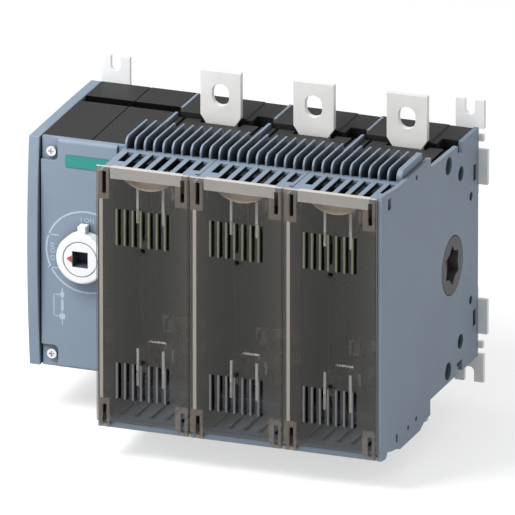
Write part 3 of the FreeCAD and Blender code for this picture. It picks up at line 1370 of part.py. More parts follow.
def build():
    """Make and save every node."""
    os.makedirs("parts", exist_ok=True)
    for index in range(POLE_COUNT):
        tag = str(index + 1)
        save("pole_housing_" + tag, pole_housing(index))
        save("contact_base_" + tag, contact_base(index))
        save("rear_cover_top_" + tag, rear_cover(index))
        save("rear_cover_bottom_" + tag, rear_cover(index, top=False))
        save("line_terminal_" + tag, terminal(index))
        save("load_terminal_" + tag, terminal(index, top=False))
        save("fuse_jaw_top_" + tag, fuse_jaw(index))
        save("fuse_jaw_bottom_" + tag, fuse_jaw(index, top=False))
        save("contact_rotor_" + tag, contact_rotor(index))
        save("rotor_blades_" + tag, rotor_blades(index))
        save("fuse_cover_" + tag, fuse_cover(index))
        save("hinge_pin_" + tag, hinge_pin(index))
    save("end_plate_right", end_plate())
    save("tie_rods", tie_rods())
    save("jaw_springs", jaw_springs())
    save("switch_shaft", switch_shaft())
    save("coupling_hub", coupling_hub())
    save("drive_bevel_gear", drive_gear())
    save("driven_bevel_gear", driven_gear())
    save("operating_drum", operating_drum())
    save("pointer_arrow", pointer_arrow())
    save("mech_side_shell", mech_side_shell())
    save("mech_case_left", mech_case(True))
    save("mech_case_right", mech_case(False))
    save("mech_front_plate", mech_front_plate())
    save("mech_screws", mech_screws())
    save("label_plate", label_plate())
    for side in ("left", "right"):
        for level in ("top", "bottom"):
            save("mount_foot_" + level + "_" + side, mount_foot(side == "right", level == "top"))
    save("foot_screws", foot_screws())


build()
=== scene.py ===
"""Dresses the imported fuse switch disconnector: moulded plastics, smoked covers, plated metal and print."""

from __future__ import annotations

import json
import logging
import math
from dataclasses import dataclass, field
from enum import Enum
from functools import cached_property
from typing import Any, Callable, Iterable

import bmesh
import bpy
from mathutils import Matrix, Vector

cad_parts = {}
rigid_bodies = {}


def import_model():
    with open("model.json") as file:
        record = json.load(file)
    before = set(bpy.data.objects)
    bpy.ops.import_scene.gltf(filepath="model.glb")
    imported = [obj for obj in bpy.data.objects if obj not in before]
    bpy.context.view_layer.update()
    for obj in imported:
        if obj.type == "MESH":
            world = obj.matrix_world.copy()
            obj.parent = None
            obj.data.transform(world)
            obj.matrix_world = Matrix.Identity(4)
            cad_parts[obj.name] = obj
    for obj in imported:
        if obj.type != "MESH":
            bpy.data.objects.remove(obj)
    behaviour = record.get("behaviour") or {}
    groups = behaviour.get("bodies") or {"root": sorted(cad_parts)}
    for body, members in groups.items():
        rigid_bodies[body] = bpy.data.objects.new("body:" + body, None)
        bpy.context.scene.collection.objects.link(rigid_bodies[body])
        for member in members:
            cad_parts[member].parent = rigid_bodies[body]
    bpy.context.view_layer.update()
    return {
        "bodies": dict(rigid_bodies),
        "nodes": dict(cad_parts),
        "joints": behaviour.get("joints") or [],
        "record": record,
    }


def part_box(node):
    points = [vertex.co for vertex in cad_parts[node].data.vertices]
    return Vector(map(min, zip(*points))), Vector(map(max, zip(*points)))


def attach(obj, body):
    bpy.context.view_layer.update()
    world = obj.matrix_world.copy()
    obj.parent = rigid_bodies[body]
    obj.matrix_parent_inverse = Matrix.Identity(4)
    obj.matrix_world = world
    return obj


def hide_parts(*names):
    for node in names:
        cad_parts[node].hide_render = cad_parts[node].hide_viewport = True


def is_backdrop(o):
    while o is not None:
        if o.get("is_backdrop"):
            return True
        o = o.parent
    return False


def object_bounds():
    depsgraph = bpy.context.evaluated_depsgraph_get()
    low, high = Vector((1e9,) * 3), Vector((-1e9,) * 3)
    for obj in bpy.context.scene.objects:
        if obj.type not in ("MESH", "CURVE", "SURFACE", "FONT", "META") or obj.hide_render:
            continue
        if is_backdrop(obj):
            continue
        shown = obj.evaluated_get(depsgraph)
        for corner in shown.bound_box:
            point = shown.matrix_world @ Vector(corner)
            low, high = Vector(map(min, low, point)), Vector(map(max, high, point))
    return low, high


LOG = logging.getLogger("disconnector")
MM = 0.001
PICTURE_PX = 515


class Weld(Enum):
    """How a softened copy of a CAD node treats its edges."""

    CRISP = 0.15
    MOULDED = 0.35
    ROUND = 0.6


def linear(hex_colour: str) -> tuple[float, float, float, float]:
    """Turn an sRGB hex value into linear red, green, blue and a full alpha.

    Args:
        hex_colour: Six hex digits, with or without a hash sign.

    Returns:
        The linear colour.
    """
    digits = hex_colour.lstrip("#")
    parts = [int(digits[i : i + 2], 16) / 255 for i in (0, 2, 4)]
    values = [c / 12.92 if c <= 0.04045 else ((c + 0.055) / 1.055) ** 2.4 for c in parts]
    return (values[0], values[1], values[2], 1.0)


def add_node(tree: bpy.types.NodeTree, kind: str, settings: dict[str, Any] | None = None,
             links: dict[str, Any] | None = None) -> bpy.types.Node:
    """Add a shader node with its settings and links.

    Args:
        tree: The node tree of the material.
        kind: The node's type name without the ShaderNode prefix.
        settings: Values by attribute or input name.
        links: Output sockets by the input name they feed.

    Returns:
        The new node.
    """
    node = tree.nodes.new("ShaderNode" + kind)
    for key, value in (settings or {}).items():
        if key in node.inputs:
            node.inputs[key].default_value = value
        else:
            setattr(node, key, value)
    for key, socket in (links or {}).items():
        tree.links.new(socket, node.inputs[key])
    return node


@dataclass(frozen=True)
class Finish:
    """A plain surface: what all finishes share.

    Attributes:
        name: The material's name.
        colour: Its sRGB colour.
        rough: Its mean roughness.
        metal: 1 for bare metal, else 0.
    """

    name: str
    colour: str
    rough: float
    metal: float = 0.0

    def build(self) -> bpy.types.Material:
        """Make the Blender material.

        Returns:
            The material.
        """
        material = bpy.data.materials.new(self.name)
        material.use_nodes = True
        tree = material.node_tree
        shader = tree.nodes["Principled BSDF"]
        shader.inputs["Base Color"].default_value = linear(self.colour)
        shader.inputs["Roughness"].default_value = self.rough
        shader.inputs["Metallic"].default_value = self.metal
        place = add_node(tree, "TexCoord").outputs["Object"]
        self.dress(tree, shader, place)
        return material

    def dress(self, tree: bpy.types.NodeTree, shader: bpy.types.Node, place: bpy.types.NodeSocket) -> None:
        """Add the pattern of the finish; a plain one has none.

        Args:
            tree: The material's nodes.
            shader: The Principled shader.
            place: Object coordinates in metres.
        """


def painted_hollow_shade(tree: bpy.types.NodeTree, colour: bpy.types.NodeSocket, reach_mm: float,
                 dark: float) -> bpy.types.NodeSocket:
    """Paint shade into a colour in narrow gaps and hollows, where little light comes.

    Args:
        tree: The material's nodes.
        colour: The colour in the open.
        reach_mm: How near the other wall has to be.
        dark: What is left of the colour in the deepest hollow.

    Returns:
        The shaded colour.
    """
    if dark >= 1:
        return colour
    # Painted shade: ambient occlusion darkens the colour in the hollows
    open_sky = add_node(tree, "AmbientOcclusion", {"samples": 8, "Distance": reach_mm * MM})
    share = add_node(tree, "MapRange", {"From Min": 0.1, "From Max": 0.85, "To Min": dark, "To Max": 1.0},
                     {"Value": open_sky.outputs["AO"]})
    shaded = add_node(tree, "VectorMath", {"operation": "SCALE"},
                      {"Vector": colour, "Scale": share.outputs["Result"]})
    return shaded.outputs["Vector"]


@dataclass(frozen=True)
class MouldedPlastic(Finish):
    """Glass-filled polyamide from a spark-eroded mould: a fine grain and slow flow clouds.

    Attributes:
        grain_mm: Width of a grain of the mould's texture.
        grain_depth: Bump strength of that grain.
        cloud: How far the colour drifts over the flow clouds, as a share.
        gloss: Specular level of the skin.
        hollow_mm: Width of the gaps that get painted shade.
        hollow_dark: What is left of the colour deep in them under the painted shade.
    """

    grain_mm: float = 0.9
    grain_depth: float = 0.10
    cloud: float = 0.04
    gloss: float = 0.4
    hollow_mm: float = 24.0
    hollow_dark: float = 0.14

    def dress(self, tree: bpy.types.NodeTree, shader: bpy.types.Node, place: bpy.types.NodeSocket) -> None:
        """Grain in the bump and the gloss, clouds in the colour, painted shade in the hollows."""
        # The real grain is about 0.05 mm; it is drawn coarser so that it shows in a view of the whole device
        fine = {"Scale": 1 / (self.grain_mm * MM), "Detail": 3.0, "Roughness": 0.6}
        grain = add_node(tree, "TexNoise", fine, {"Vector": place})
        broad = {"Scale": 22.0, "Detail": 2.0, "Roughness": 0.5}
        clouds = add_node(tree, "TexNoise", broad, {"Vector": place})
        base = linear(self.colour)
        ramp = add_node(tree, "ValToRGB", {}, {"Fac": clouds.outputs["Fac"]})
        low, high = ramp.color_ramp.elements
        low.position, high.position = 0.3, 0.7
        low.color = tuple(c * (1 - self.cloud) for c in base[:3]) + (1.0,)
        high.color = tuple(min(1.0, c * (1 + self.cloud)) for c in base[:3]) + (1.0,)
        # Painted shade in the hollows
        shaded = painted_hollow_shade(tree, ramp.outputs["Color"], self.hollow_mm, self.hollow_dark)
        tree.links.new(shaded, shader.inputs["Base Color"])
        shader.inputs["Specular IOR Level"].default_value = self.gloss
        gloss = add_node(tree, "MapRange", {"To Min": self.rough - 0.06, "To Max": self.rough + 0.06},
                         {"Value": grain.outputs["Fac"]})
        tree.links.new(gloss.outputs["Result"], shader.inputs["Roughness"])
        bump = add_node(tree, "Bump", {"Strength": self.grain_depth, "Distance": 0.05 * MM},
                        {"Height": grain.outputs["Fac"]})
        tree.links.new(bump.outputs["Normal"], shader.inputs["Normal"])


@dataclass(frozen=True)
class PlatedMetal(Finish):
    """Plated copper or steel: bright, with fine rolling streaks and a faint bloom.

    Attributes:
        streak_mm: Width of a rolling streak.
        streak_depth: Bump strength of the streaks.
        hollow_mm: Width of the gaps that get painted shade.
        hollow_dark: What is left of the colour deep in them under the painted shade.
    """

    metal: float = 1.0
    streak_mm: float = 0.8
    streak_depth: float = 0.08
    hollow_mm: float = 10.0
    hollow_dark: float = 0.5

    def dress(self, tree: bpy.types.NodeTree, shader: bpy.types.Node, place: bpy.types.NodeSocket) -> None:
        """Upright streaks from the sheet's rolling, soft clouds of bloom in the gloss, and painted shade in
        the hollows.
        """
        across = 1 / (self.streak_mm * MM)
        stretch = add_node(tree, "Mapping", {"Scale": (across, across, across / 30)}, {"Vector": place})
        streaks = add_node(tree, "TexNoise", {"Scale": 1.0, "Detail": 2.0},
                           {"Vector": stretch.outputs["Vector"]})
        bloom = add_node(tree, "TexNoise", {"Scale": 60.0, "Detail": 4.0}, {"Vector": place})
        both = add_node(tree, "Math", {"operation": "MULTIPLY"}, {})
        tree.links.new(streaks.outputs["Fac"], both.inputs[0])
        tree.links.new(bloom.outputs["Fac"], both.inputs[1])
        gloss = add_node(tree, "MapRange", {"To Min": self.rough - 0.1, "To Max": self.rough + 0.2},
                         {"Value": both.outputs["Value"]})
        tree.links.new(gloss.outputs["Result"], shader.inputs["Roughness"])
        base = linear(self.colour)
        ramp = add_node(tree, "ValToRGB", {}, {"Fac": bloom.outputs["Fac"]})
        low, high = ramp.color_ramp.elements
        low.position, high.position = 0.3, 0.7
        low.color = tuple(c * 0.93 for c in base[:3]) + (1.0,)
        high.color = base
        # Painted shade in the hollows
        shaded = painted_hollow_shade(tree, ramp.outputs["Color"], self.hollow_mm, self.hollow_dark)
        tree.links.new(shaded, shader.inputs["Base Color"])
        bump = add_node(tree, "Bump", {"Strength": self.streak_depth, "Distance": 0.03 * MM},
                        {"Height": streaks.outputs["Fac"]})
        tree.links.new(bump.outputs["Normal"], shader.inputs["Normal"])


@dataclass(frozen=True)
class ClearPlastic(Finish):
    """Smoked polycarbonate: glossy and see-through, with painted light making it cloudier and paler where
    light runs to an edge.

    Attributes:
        alpha: How much of what lies behind is hidden.
        gloss: Specular level of the skin.
        across: Share of the colour by the place across the cover, as position and factor; these shares paint
            light across the pane.
    """

    alpha: float = 0.3
    gloss: float = 0.35
    across: tuple[tuple[float, float], ...] = ((0.0, 1.0), (1.0, 1.0))

    def dress(self, tree: bpy.types.NodeTree, shader: bpy.types.Node, place: bpy.types.NodeSocket) -> None:
        """Painted light across the cover by the shares of its colour, and a slow drift of the gloss along the
        flow.
        """
        side = add_node(tree, "SeparateXYZ", {}, {"Vector": add_node(tree, "TexCoord").outputs["UV"]})
        # Painted light: the ramp makes the pane's colour paler towards its side edges
        smoke_and_painted_light = add_node(tree, "ValToRGB", {}, {"Fac": side.outputs["X"]})
        steps = smoke_and_painted_light.color_ramp.elements
        while len(steps) < len(self.across):
            steps.new(0.5)
        base = linear(self.colour)
        for step, (position, share) in zip(steps, self.across):
            step.position = position
            step.color = tuple(min(1.0, c * share) for c in base[:3]) + (1.0,)
        tree.links.new(smoke_and_painted_light.outputs["Color"], shader.inputs["Base Color"])
        flow = add_node(tree, "TexNoise", {"Scale": 35.0, "Detail": 1.0}, {"Vector": place})
        shine = add_node(tree, "MapRange", {"To Min": self.rough - 0.03, "To Max": self.rough + 0.03},
                         {"Value": flow.outputs["Fac"]})
        tree.links.new(shine.outputs["Result"], shader.inputs["Roughness"])
        shader.inputs["Alpha"].default_value = self.alpha
        shader.inputs["IOR"].default_value = 1.58
        shader.inputs["Specular IOR Level"].default_value = self.gloss


@dataclass(frozen=True)
class Ink(Finish):
    """Pad-printed ink: a thin matt film with slightly broken cover."""

    def dress(self, tree: bpy.types.NodeTree, shader: bpy.types.Node, place: bpy.types.NodeSocket) -> None:
        """Fine speckle in the gloss."""
        speckle = add_node(tree, "TexNoise", {"Scale": 900.0}, {"Vector": place})
        gloss = add_node(tree, "MapRange", {"To Min": self.rough - 0.08, "To Max": self.rough + 0.08},
                         {"Value": speckle.outputs["Fac"]})
        tree.links.new(gloss.outputs["Result"], shader.inputs["Roughness"])


@dataclass
class Palette:
    """Every finish of the object, built once.

    Attributes:
        made: The Blender materials by the finish's name.
    """

    made: dict[str, bpy.types.Material] = field(default_factory=dict)

    def get(self, finish: Finish) -> bpy.types.Material:
        """Give the material of a finish, making it when first asked for.

        Args:
            finish: The finish.

        Returns:
            Its material.
        """
        if finish.name not in self.made:
            self.made[finish.name] = finish.build()
        return self.made[finish.name]


# Blue-grey thermoplastic of the housings: reads as a cool, matt mid grey
HOUSING = MouldedPlastic("polyamide_blue_grey", "#8594A4", 0.55, hollow_dark=0.1)
# Black polyamide of bases, rear covers and cases: dark grey, matt, with a soft sheen
BASE = MouldedPlastic("polyamide_black", "#2C2C2D", 0.6, cloud=0.03, gloss=0.35, hollow_dark=0.05)
# The same black, painted darker as shade far inside a groove or a compartment, where hardly any light comes
SHADED_BLACK = MouldedPlastic("polyamide_black_painted_shade", "#0B0C0D", 0.7, grain_depth=0.0, cloud=0.02, gloss=0.05,
                      hollow_dark=1.0)
# Painted shade: a near-black inside the fuse compartments, in place of the moulding's own colour
COMPARTMENT_SHADE = MouldedPlastic("polyamide_inside_painted_shade", "#22272B", 0.7, grain_depth=0.02, cloud=0.04, gloss=0.05,
                        hollow_dark=1.0)
# Filled thermoset of the rotors and the coupling hub: a slightly warm, dull grey
ROTOR = MouldedPlastic("duroplast_dark", "#454344", 0.5, cloud=0.03, hollow_mm=6.0, hollow_dark=0.4)
# Matt silver plating on copper: pale, it scatters nearly as much light as it mirrors
TERMINAL = PlatedMetal("silver_plate_matt", "#F8F7F5", 0.45, metal=0.15, hollow_dark=0.6)
# Bright silver plating on the fuse jaws, which mirror the dark compartment
JAW = PlatedMetal("silver_plate_bright", "#D8D4CC", 0.3, metal=1.0)
# Zinc-plated spring steel and screws
STEEL = PlatedMetal("zinc_plated_steel", "#E4E5E7", 0.35, metal=0.6)
# Blackened tie rods, nearly lost in the dark round them
BLACKED = PlatedMetal("blackened_steel", "#24272B", 0.5, metal=0.5)
# Zinc-plated sheet of the feet: an almost white, matt metal
SHEET = PlatedMetal("zinc_plated_sheet", "#F8F9FA", 0.5, metal=0.1, hollow_dark=0.95)
# Dark grey, a little metallic, inside the drum's square hole
SOCKET = PlatedMetal("square_hole_dark_grey", "#5E666C", 0.55, metal=0.2, hollow_dark=0.8)
# White acetal of the operating drum: clean and faintly glossy
DRUM = MouldedPlastic("acetal_white", "#F4F4F5", 0.38, grain_depth=0.04, cloud=0.01, hollow_mm=4.0,
                      hollow_dark=1.0)
# Red pointer: the one warm colour on the front
POINTER = Ink("pointer_red", "#C0453C", 0.45)
# Green label foil, left bare: smooth, with hardly any grain
LABEL = MouldedPlastic("label_foil_blank", "#2B8F88", 0.4, grain_depth=0.03, cloud=0.02, hollow_mm=3.0)
# Pale print on the front plate: a thin film a little lighter than the housing
PRINT = Ink("print_pale_blue", "#B2C4D3", 0.5)
# Smoked polycarbonate: the pane is dark and see-through, with painted light making it paler towards its side
# edges; its edges and thick places carry a painted cream light
SMOKE = ClearPlastic("polycarbonate_smoked", "#4E4D49", 0.08, alpha=0.4,
                     across=((0.0, 1.9), (0.13, 1.15), (0.4, 0.85), (0.68, 1.05), (0.9, 1.5), (1.0, 2.0)))
# Side edges of a cover: painted pale and almost opaque, as painted light for the light that runs out of them
EDGE = ClearPlastic("polycarbonate_edge", "#A5A19A", 0.2, alpha=0.9)
# Back of the pane: nearly clear, so that the smoke is counted once
INNER_FACE = ClearPlastic("polycarbonate_inner_face", "#4E4D49", 0.1, alpha=0.1)
# Thicker corners round the latch slots: a milky brown, painted paler as light carried in the thick plastic
CORNER = ClearPlastic("polycarbonate_corner", "#83796F", 0.2, alpha=0.55)
# Skirt of a cover seen end on: a pale upright strip of painted light, for the light that runs out along the
# skirt
RIM = ClearPlastic("polycarbonate_rim", "#9F9990", 0.2, alpha=0.9)
# Top edge of a cover: a painted highlight, the brightest line of the smoked plastic
CREST = ClearPlastic("polycarbonate_crest", "#CFCCC4", 0.2, alpha=0.95)
# Grip band along the top of a cover: a greyer, paler strip
BAND = ClearPlastic("polycarbonate_grip", "#989490", 0.2, alpha=0.9)
# Thick finger grip behind the band: a warm cream, painted light carried in the thick plastic
SMILE = ClearPlastic("polycarbonate_thick", "#EADBCA", 0.25, alpha=0.97)
# Cut edges of the upper vent slots and a strip left of each: a painted olive light
GLOW = ClearPlastic("polycarbonate_slot_edge", "#73755E", 0.2, alpha=0.85)
# Cut edges of the lower vent slots and a strip left of each: a painted light of a cooler grey
FOOT_GLOW = ClearPlastic("polycarbonate_slot_edge_low", "#727175", 0.2, alpha=0.85)

NODE_FINISH: dict[str, Finish] = {
    "pole_housing": HOUSING,
    "end_plate": HOUSING,
    "mech_side": HOUSING,
    "mech_front": HOUSING,
    "contact_base": BASE,
    "rear_cover": BASE,
    "mech_case": BASE,
    "contact_rotor": ROTOR,
    "coupling_hub": ROTOR,
    "drive_bevel": ROTOR,
    "driven_bevel": ROTOR,
    "line_terminal": TERMINAL,
    "load_terminal": TERMINAL,
    "fuse_jaw": JAW,
    "rotor_blades": TERMINAL,
    "jaw_springs": STEEL,
    "tie_rods": BLACKED,
    "foot_screws": STEEL,
    "mech_screws": STEEL,
    "switch_shaft": STEEL,
    "hinge_pin": STEEL,
    "mount_foot": SHEET,
    "fuse_cover": SMOKE,
    "operating_drum": DRUM,
    "pointer_arrow": POINTER,
    "label_plate": LABEL,
}


def finish_of(node: str) -> Finish:
    """Look up the finish of a CAD node by the start of its name."""
    return next(finish for start, finish in NODE_FINISH.items() if node.startswith(start))


def body_of_node(frame: dict[str, Any], node: str) -> str:
    """Find the moving body that holds a CAD node."""
    bodies = frame["record"]["behaviour"]["bodies"]
    return next(body for body, nodes in bodies.items() if node in nodes)


Painter = Callable[[Vector, Vector], "Finish | None"]


def mesh_object(name: str, mesh: bpy.types.Mesh, materials: Iterable[bpy.types.Material]) -> bpy.types.Object:
    """Put a finished mesh in the scene with its materials."""
    piece = bpy.data.objects.new(name, mesh)
    bpy.context.scene.collection.objects.link(piece)
    for material in materials:
        mesh.materials.append(material)
    return piece


def node_shape(frame: dict[str, Any], node: str) -> bmesh.types.BMesh:
    """Copy a CAD node's mesh with its points merged and its flat faces joined."""
    shape = bmesh.new()
    shape.from_mesh(frame["nodes"][node].data)
    bmesh.ops.remove_doubles(shape, verts=shape.verts, dist=1e-6)
    bmesh.ops.dissolve_limit(shape, angle_limit=math.radians(1.0), verts=shape.verts, edges=shape.edges)
    shape.normal_update()
    return shape


def dressed_copy(frame: dict[str, Any], node: str, shape: bmesh.types.BMesh, palette: Palette, weld: Weld,
                 paint: Painter | None = None) -> bpy.types.Object:
    """Turn a copied shape into the piece that replaces its CAD node, with moulded or deburred edges.

    Args:
        frame: The loaded frame.
        node: The node's name.
        shape: The node's copied shape, which is used up.
        palette: The built finishes.
        weld: How wide its edges are rounded.
        paint: Gives the finish of a face by its middle and its normal, or None for the node's own.

    Returns:
        The piece.
    """
    finishes = [finish_of(node)]
    for face in shape.faces:
        face.smooth = True
        chosen = paint(face.calc_center_median(), face.normal) if paint else None
        if chosen is not None and chosen not in finishes:
            finishes.append(chosen)
        face.material_index = finishes.index(chosen) if chosen else 0
    mesh = bpy.data.meshes.new(node + "_moulded")
    shape.to_mesh(mesh)
    shape.free()
    piece = mesh_object(node + "_moulded", mesh, [palette.get(finish) for finish in finishes])
    bevel = piece.modifiers.new("edge", "BEVEL")
    bevel.width = weld.value * MM
    bevel.segments = 2
    bevel.limit_method = "ANGLE"
    bevel.angle_limit = math.radians(35)
    bevel.use_clamp_overlap = False
    bevel.harden_normals = False
    shade = piece.modifiers.new("shade", "WEIGHTED_NORMAL")
    shade.keep_sharp = False
    shade.weight = 60
    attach(piece, body_of_node(frame, node))
    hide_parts(node)
    return piece


@dataclass
class Housing:
    """The rigid CAD pieces: each gets its finish, and the moulded ones rounded edges.

    Attributes:
        frame: The loaded frame.
        palette: The built finishes.
        socket_half_mm: Half the width of the drum's square hole, with a little play.
        socket_deep_mm: Its depth, with a little play.
        groove_mm: Start, end and height limit of the cross groove, as distances in the frame.
        platform_mm: Height of the platforms, less a little.
        base_front_mm: Front face of the contact bases, less a little.
        compartment_mm: Back, front and height limit of the fuse compartments.
        jaw_tip_mm: Where the tips of the jaws begin.
        jaw_pale_mm: Lower end of the pale rim of the lower and of the upper jaws.
        moulded: Starts of the names of nodes whose edges are rounded.
    """

    frame: dict[str, Any]
    palette: Palette
    socket_half_mm: float = 5.3
    socket_deep_mm: float = 12.5
    groove_mm: tuple[float, float, float] = (30.9, 41.1, 73.2)
    platform_mm: float = 70.6
    base_front_mm: float = 102.9
    compartment_mm: tuple[float, float, float] = (102.9, 172.8, 79.0)
    jaw_tip_mm: float = 164.0
    jaw_pale_mm: tuple[float, float] = (-48.0, 55.2)
    moulded: dict[str, Weld] = field(default_factory=lambda: {
        "pole_housing": Weld.MOULDED,
        "end_plate": Weld.MOULDED,
        "mech_side": Weld.ROUND,
        "mech_front": Weld.MOULDED,
        "mech_case": Weld.MOULDED,
        "rear_cover": Weld.MOULDED,
        "contact_base": Weld.MOULDED,
        "line_terminal": Weld.CRISP,
        "load_terminal": Weld.CRISP,
        "mount_foot": Weld.CRISP,
        "coupling_hub": Weld.MOULDED,
        "operating_drum": Weld.CRISP,
        "fuse_jaw": Weld.CRISP,
    })

    def build(self) -> list[bpy.types.Object]:
        """Dress every node that isn't a cover.

        Returns:
            The new pieces.
        """
        pieces = []
        for name, node in self.frame["nodes"].items():
            material = self.palette.get(finish_of(name))
            node.data.materials.clear()
            node.data.materials.append(material)
            weld = next((w for start, w in self.moulded.items() if name.startswith(start)), None)
            if weld is not None:
                shape = node_shape(self.frame, name)
                for point, normal in self.scores(name):
                    geometry = [*shape.verts, *shape.edges, *shape.faces]
                    bmesh.ops.bisect_plane(shape, geom=geometry, dist=1e-7, plane_co=point, plane_no=normal)
                brushes = (brush for start, brush in self.brushes().items() if name.startswith(start))
                paint = next(brushes, None)
                pieces.append(dressed_copy(self.frame, name, shape, self.palette, weld, paint))
        return pieces

    def scores(self, name: str) -> list[tuple[Vector, Vector]]:
        """Give the planes along which a node's faces are parted, so that each part has one finish.

        Args:
            name: The node's name.

        Returns:
            A point and a normal of each plane.
        """
        if name.startswith(("pole_housing", "end_plate")):
            return [(Vector((0, -self.base_front_mm * MM, 0)), Vector((0, 1, 0)))]
        if name.startswith("fuse_jaw"):
            low = self.jaw_pale_mm["top" in name]
            return [(Vector((0, 0, low * MM)), Vector((0, 0, 1)))]
        return []

    def brushes(self) -> dict[str, Painter]:
        """Give the painters of the nodes that have more than one finish, by the start of their names."""
        return {
            "operating_drum": self.socket_paint,
            "pole_housing": self.compartment_painted_shade,
            "end_plate": self.compartment_painted_shade,
            "contact_base": self.base_painted_shade,
            "mech_case": self.groove_painted_shade,
            "fuse_jaw": self.jaw_paint,
        }

    def groove_painted_shade(self, middle: Vector, normal: Vector) -> Finish | None:
        """Paint shade, as a darker black, into the cross groove of the mechanism's case."""
        start, end, floor = self.groove_mm
        return SHADED_BLACK if start < -middle.y / MM < end and abs(middle.z) / MM < floor else None

    def base_painted_shade(self, middle: Vector, normal: Vector) -> Finish | None:
        """Paint shade, as a darker black, into the groove and the tab's pocket, and as a near-black onto the
        face towards the fuses of a contact base.
        """
        start, end, floor = self.groove_mm
        depth, height = -middle.y / MM, abs(middle.z) / MM
        sunk = start - 3.0 < depth < end + 6.0 and height < self.platform_mm
        if normal.y < -0.9 and depth > self.base_front_mm:
            return COMPARTMENT_SHADE
        return SHADED_BLACK if sunk else None

    @cached_property
    def side_faces(self) -> tuple[float, float]:
        """Give the x just inside the outer faces of the first housing and of the end plate."""
        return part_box("pole_housing_1")[0].x + 0.5 * MM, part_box("end_plate_right")[1].x - 0.5 * MM

    def compartment_painted_shade(self, middle: Vector, normal: Vector) -> Finish | None:
        """Paint shade, as a near-black, onto the inside of a fuse compartment and of the hood above it."""
        depth = -middle.y / MM
        front = depth > self.compartment_mm[1]
        inside = self.compartment_mm[0] < depth and abs(middle.z) / MM < self.compartment_mm[2]
        left_face, right_face = self.side_faces
        outer = normal.x < -0.9 and middle.x < left_face or normal.x > 0.9 and middle.x > right_face
        facing = abs(normal.x) > 0.9 or (normal.z < -0.9 and middle.z > 0)
        return COMPARTMENT_SHADE if inside and facing and not front and not outer else None

    def jaw_paint(self, middle: Vector, normal: Vector) -> Finish | None:
        """Give the rims of the jaws' tips the matt, pale silver of the terminals."""
        pale = middle.z / MM > self.jaw_pale_mm[middle.z > 0]
        return TERMINAL if -middle.y / MM > self.jaw_tip_mm and pale else None

    def socket_paint(self, middle: Vector, normal: Vector) -> Finish | None:
        """Give the walls and the floor of the drum's square hole their dark grey."""
        low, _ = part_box("operating_drum")
        joints = self.frame["record"]["behaviour"]["joints"]
        turn = next(joint for joint in joints if joint["name"] == "handle_turn")
        aside = max(abs(middle.x - turn["pos_m"][0]), abs(middle.z - turn["pos_m"][2]))
        deep = (middle.y - low.y) / MM
        inside = aside < self.socket_half_mm * MM and 0.3 < deep < self.socket_deep_mm
        return SOCKET if inside else None


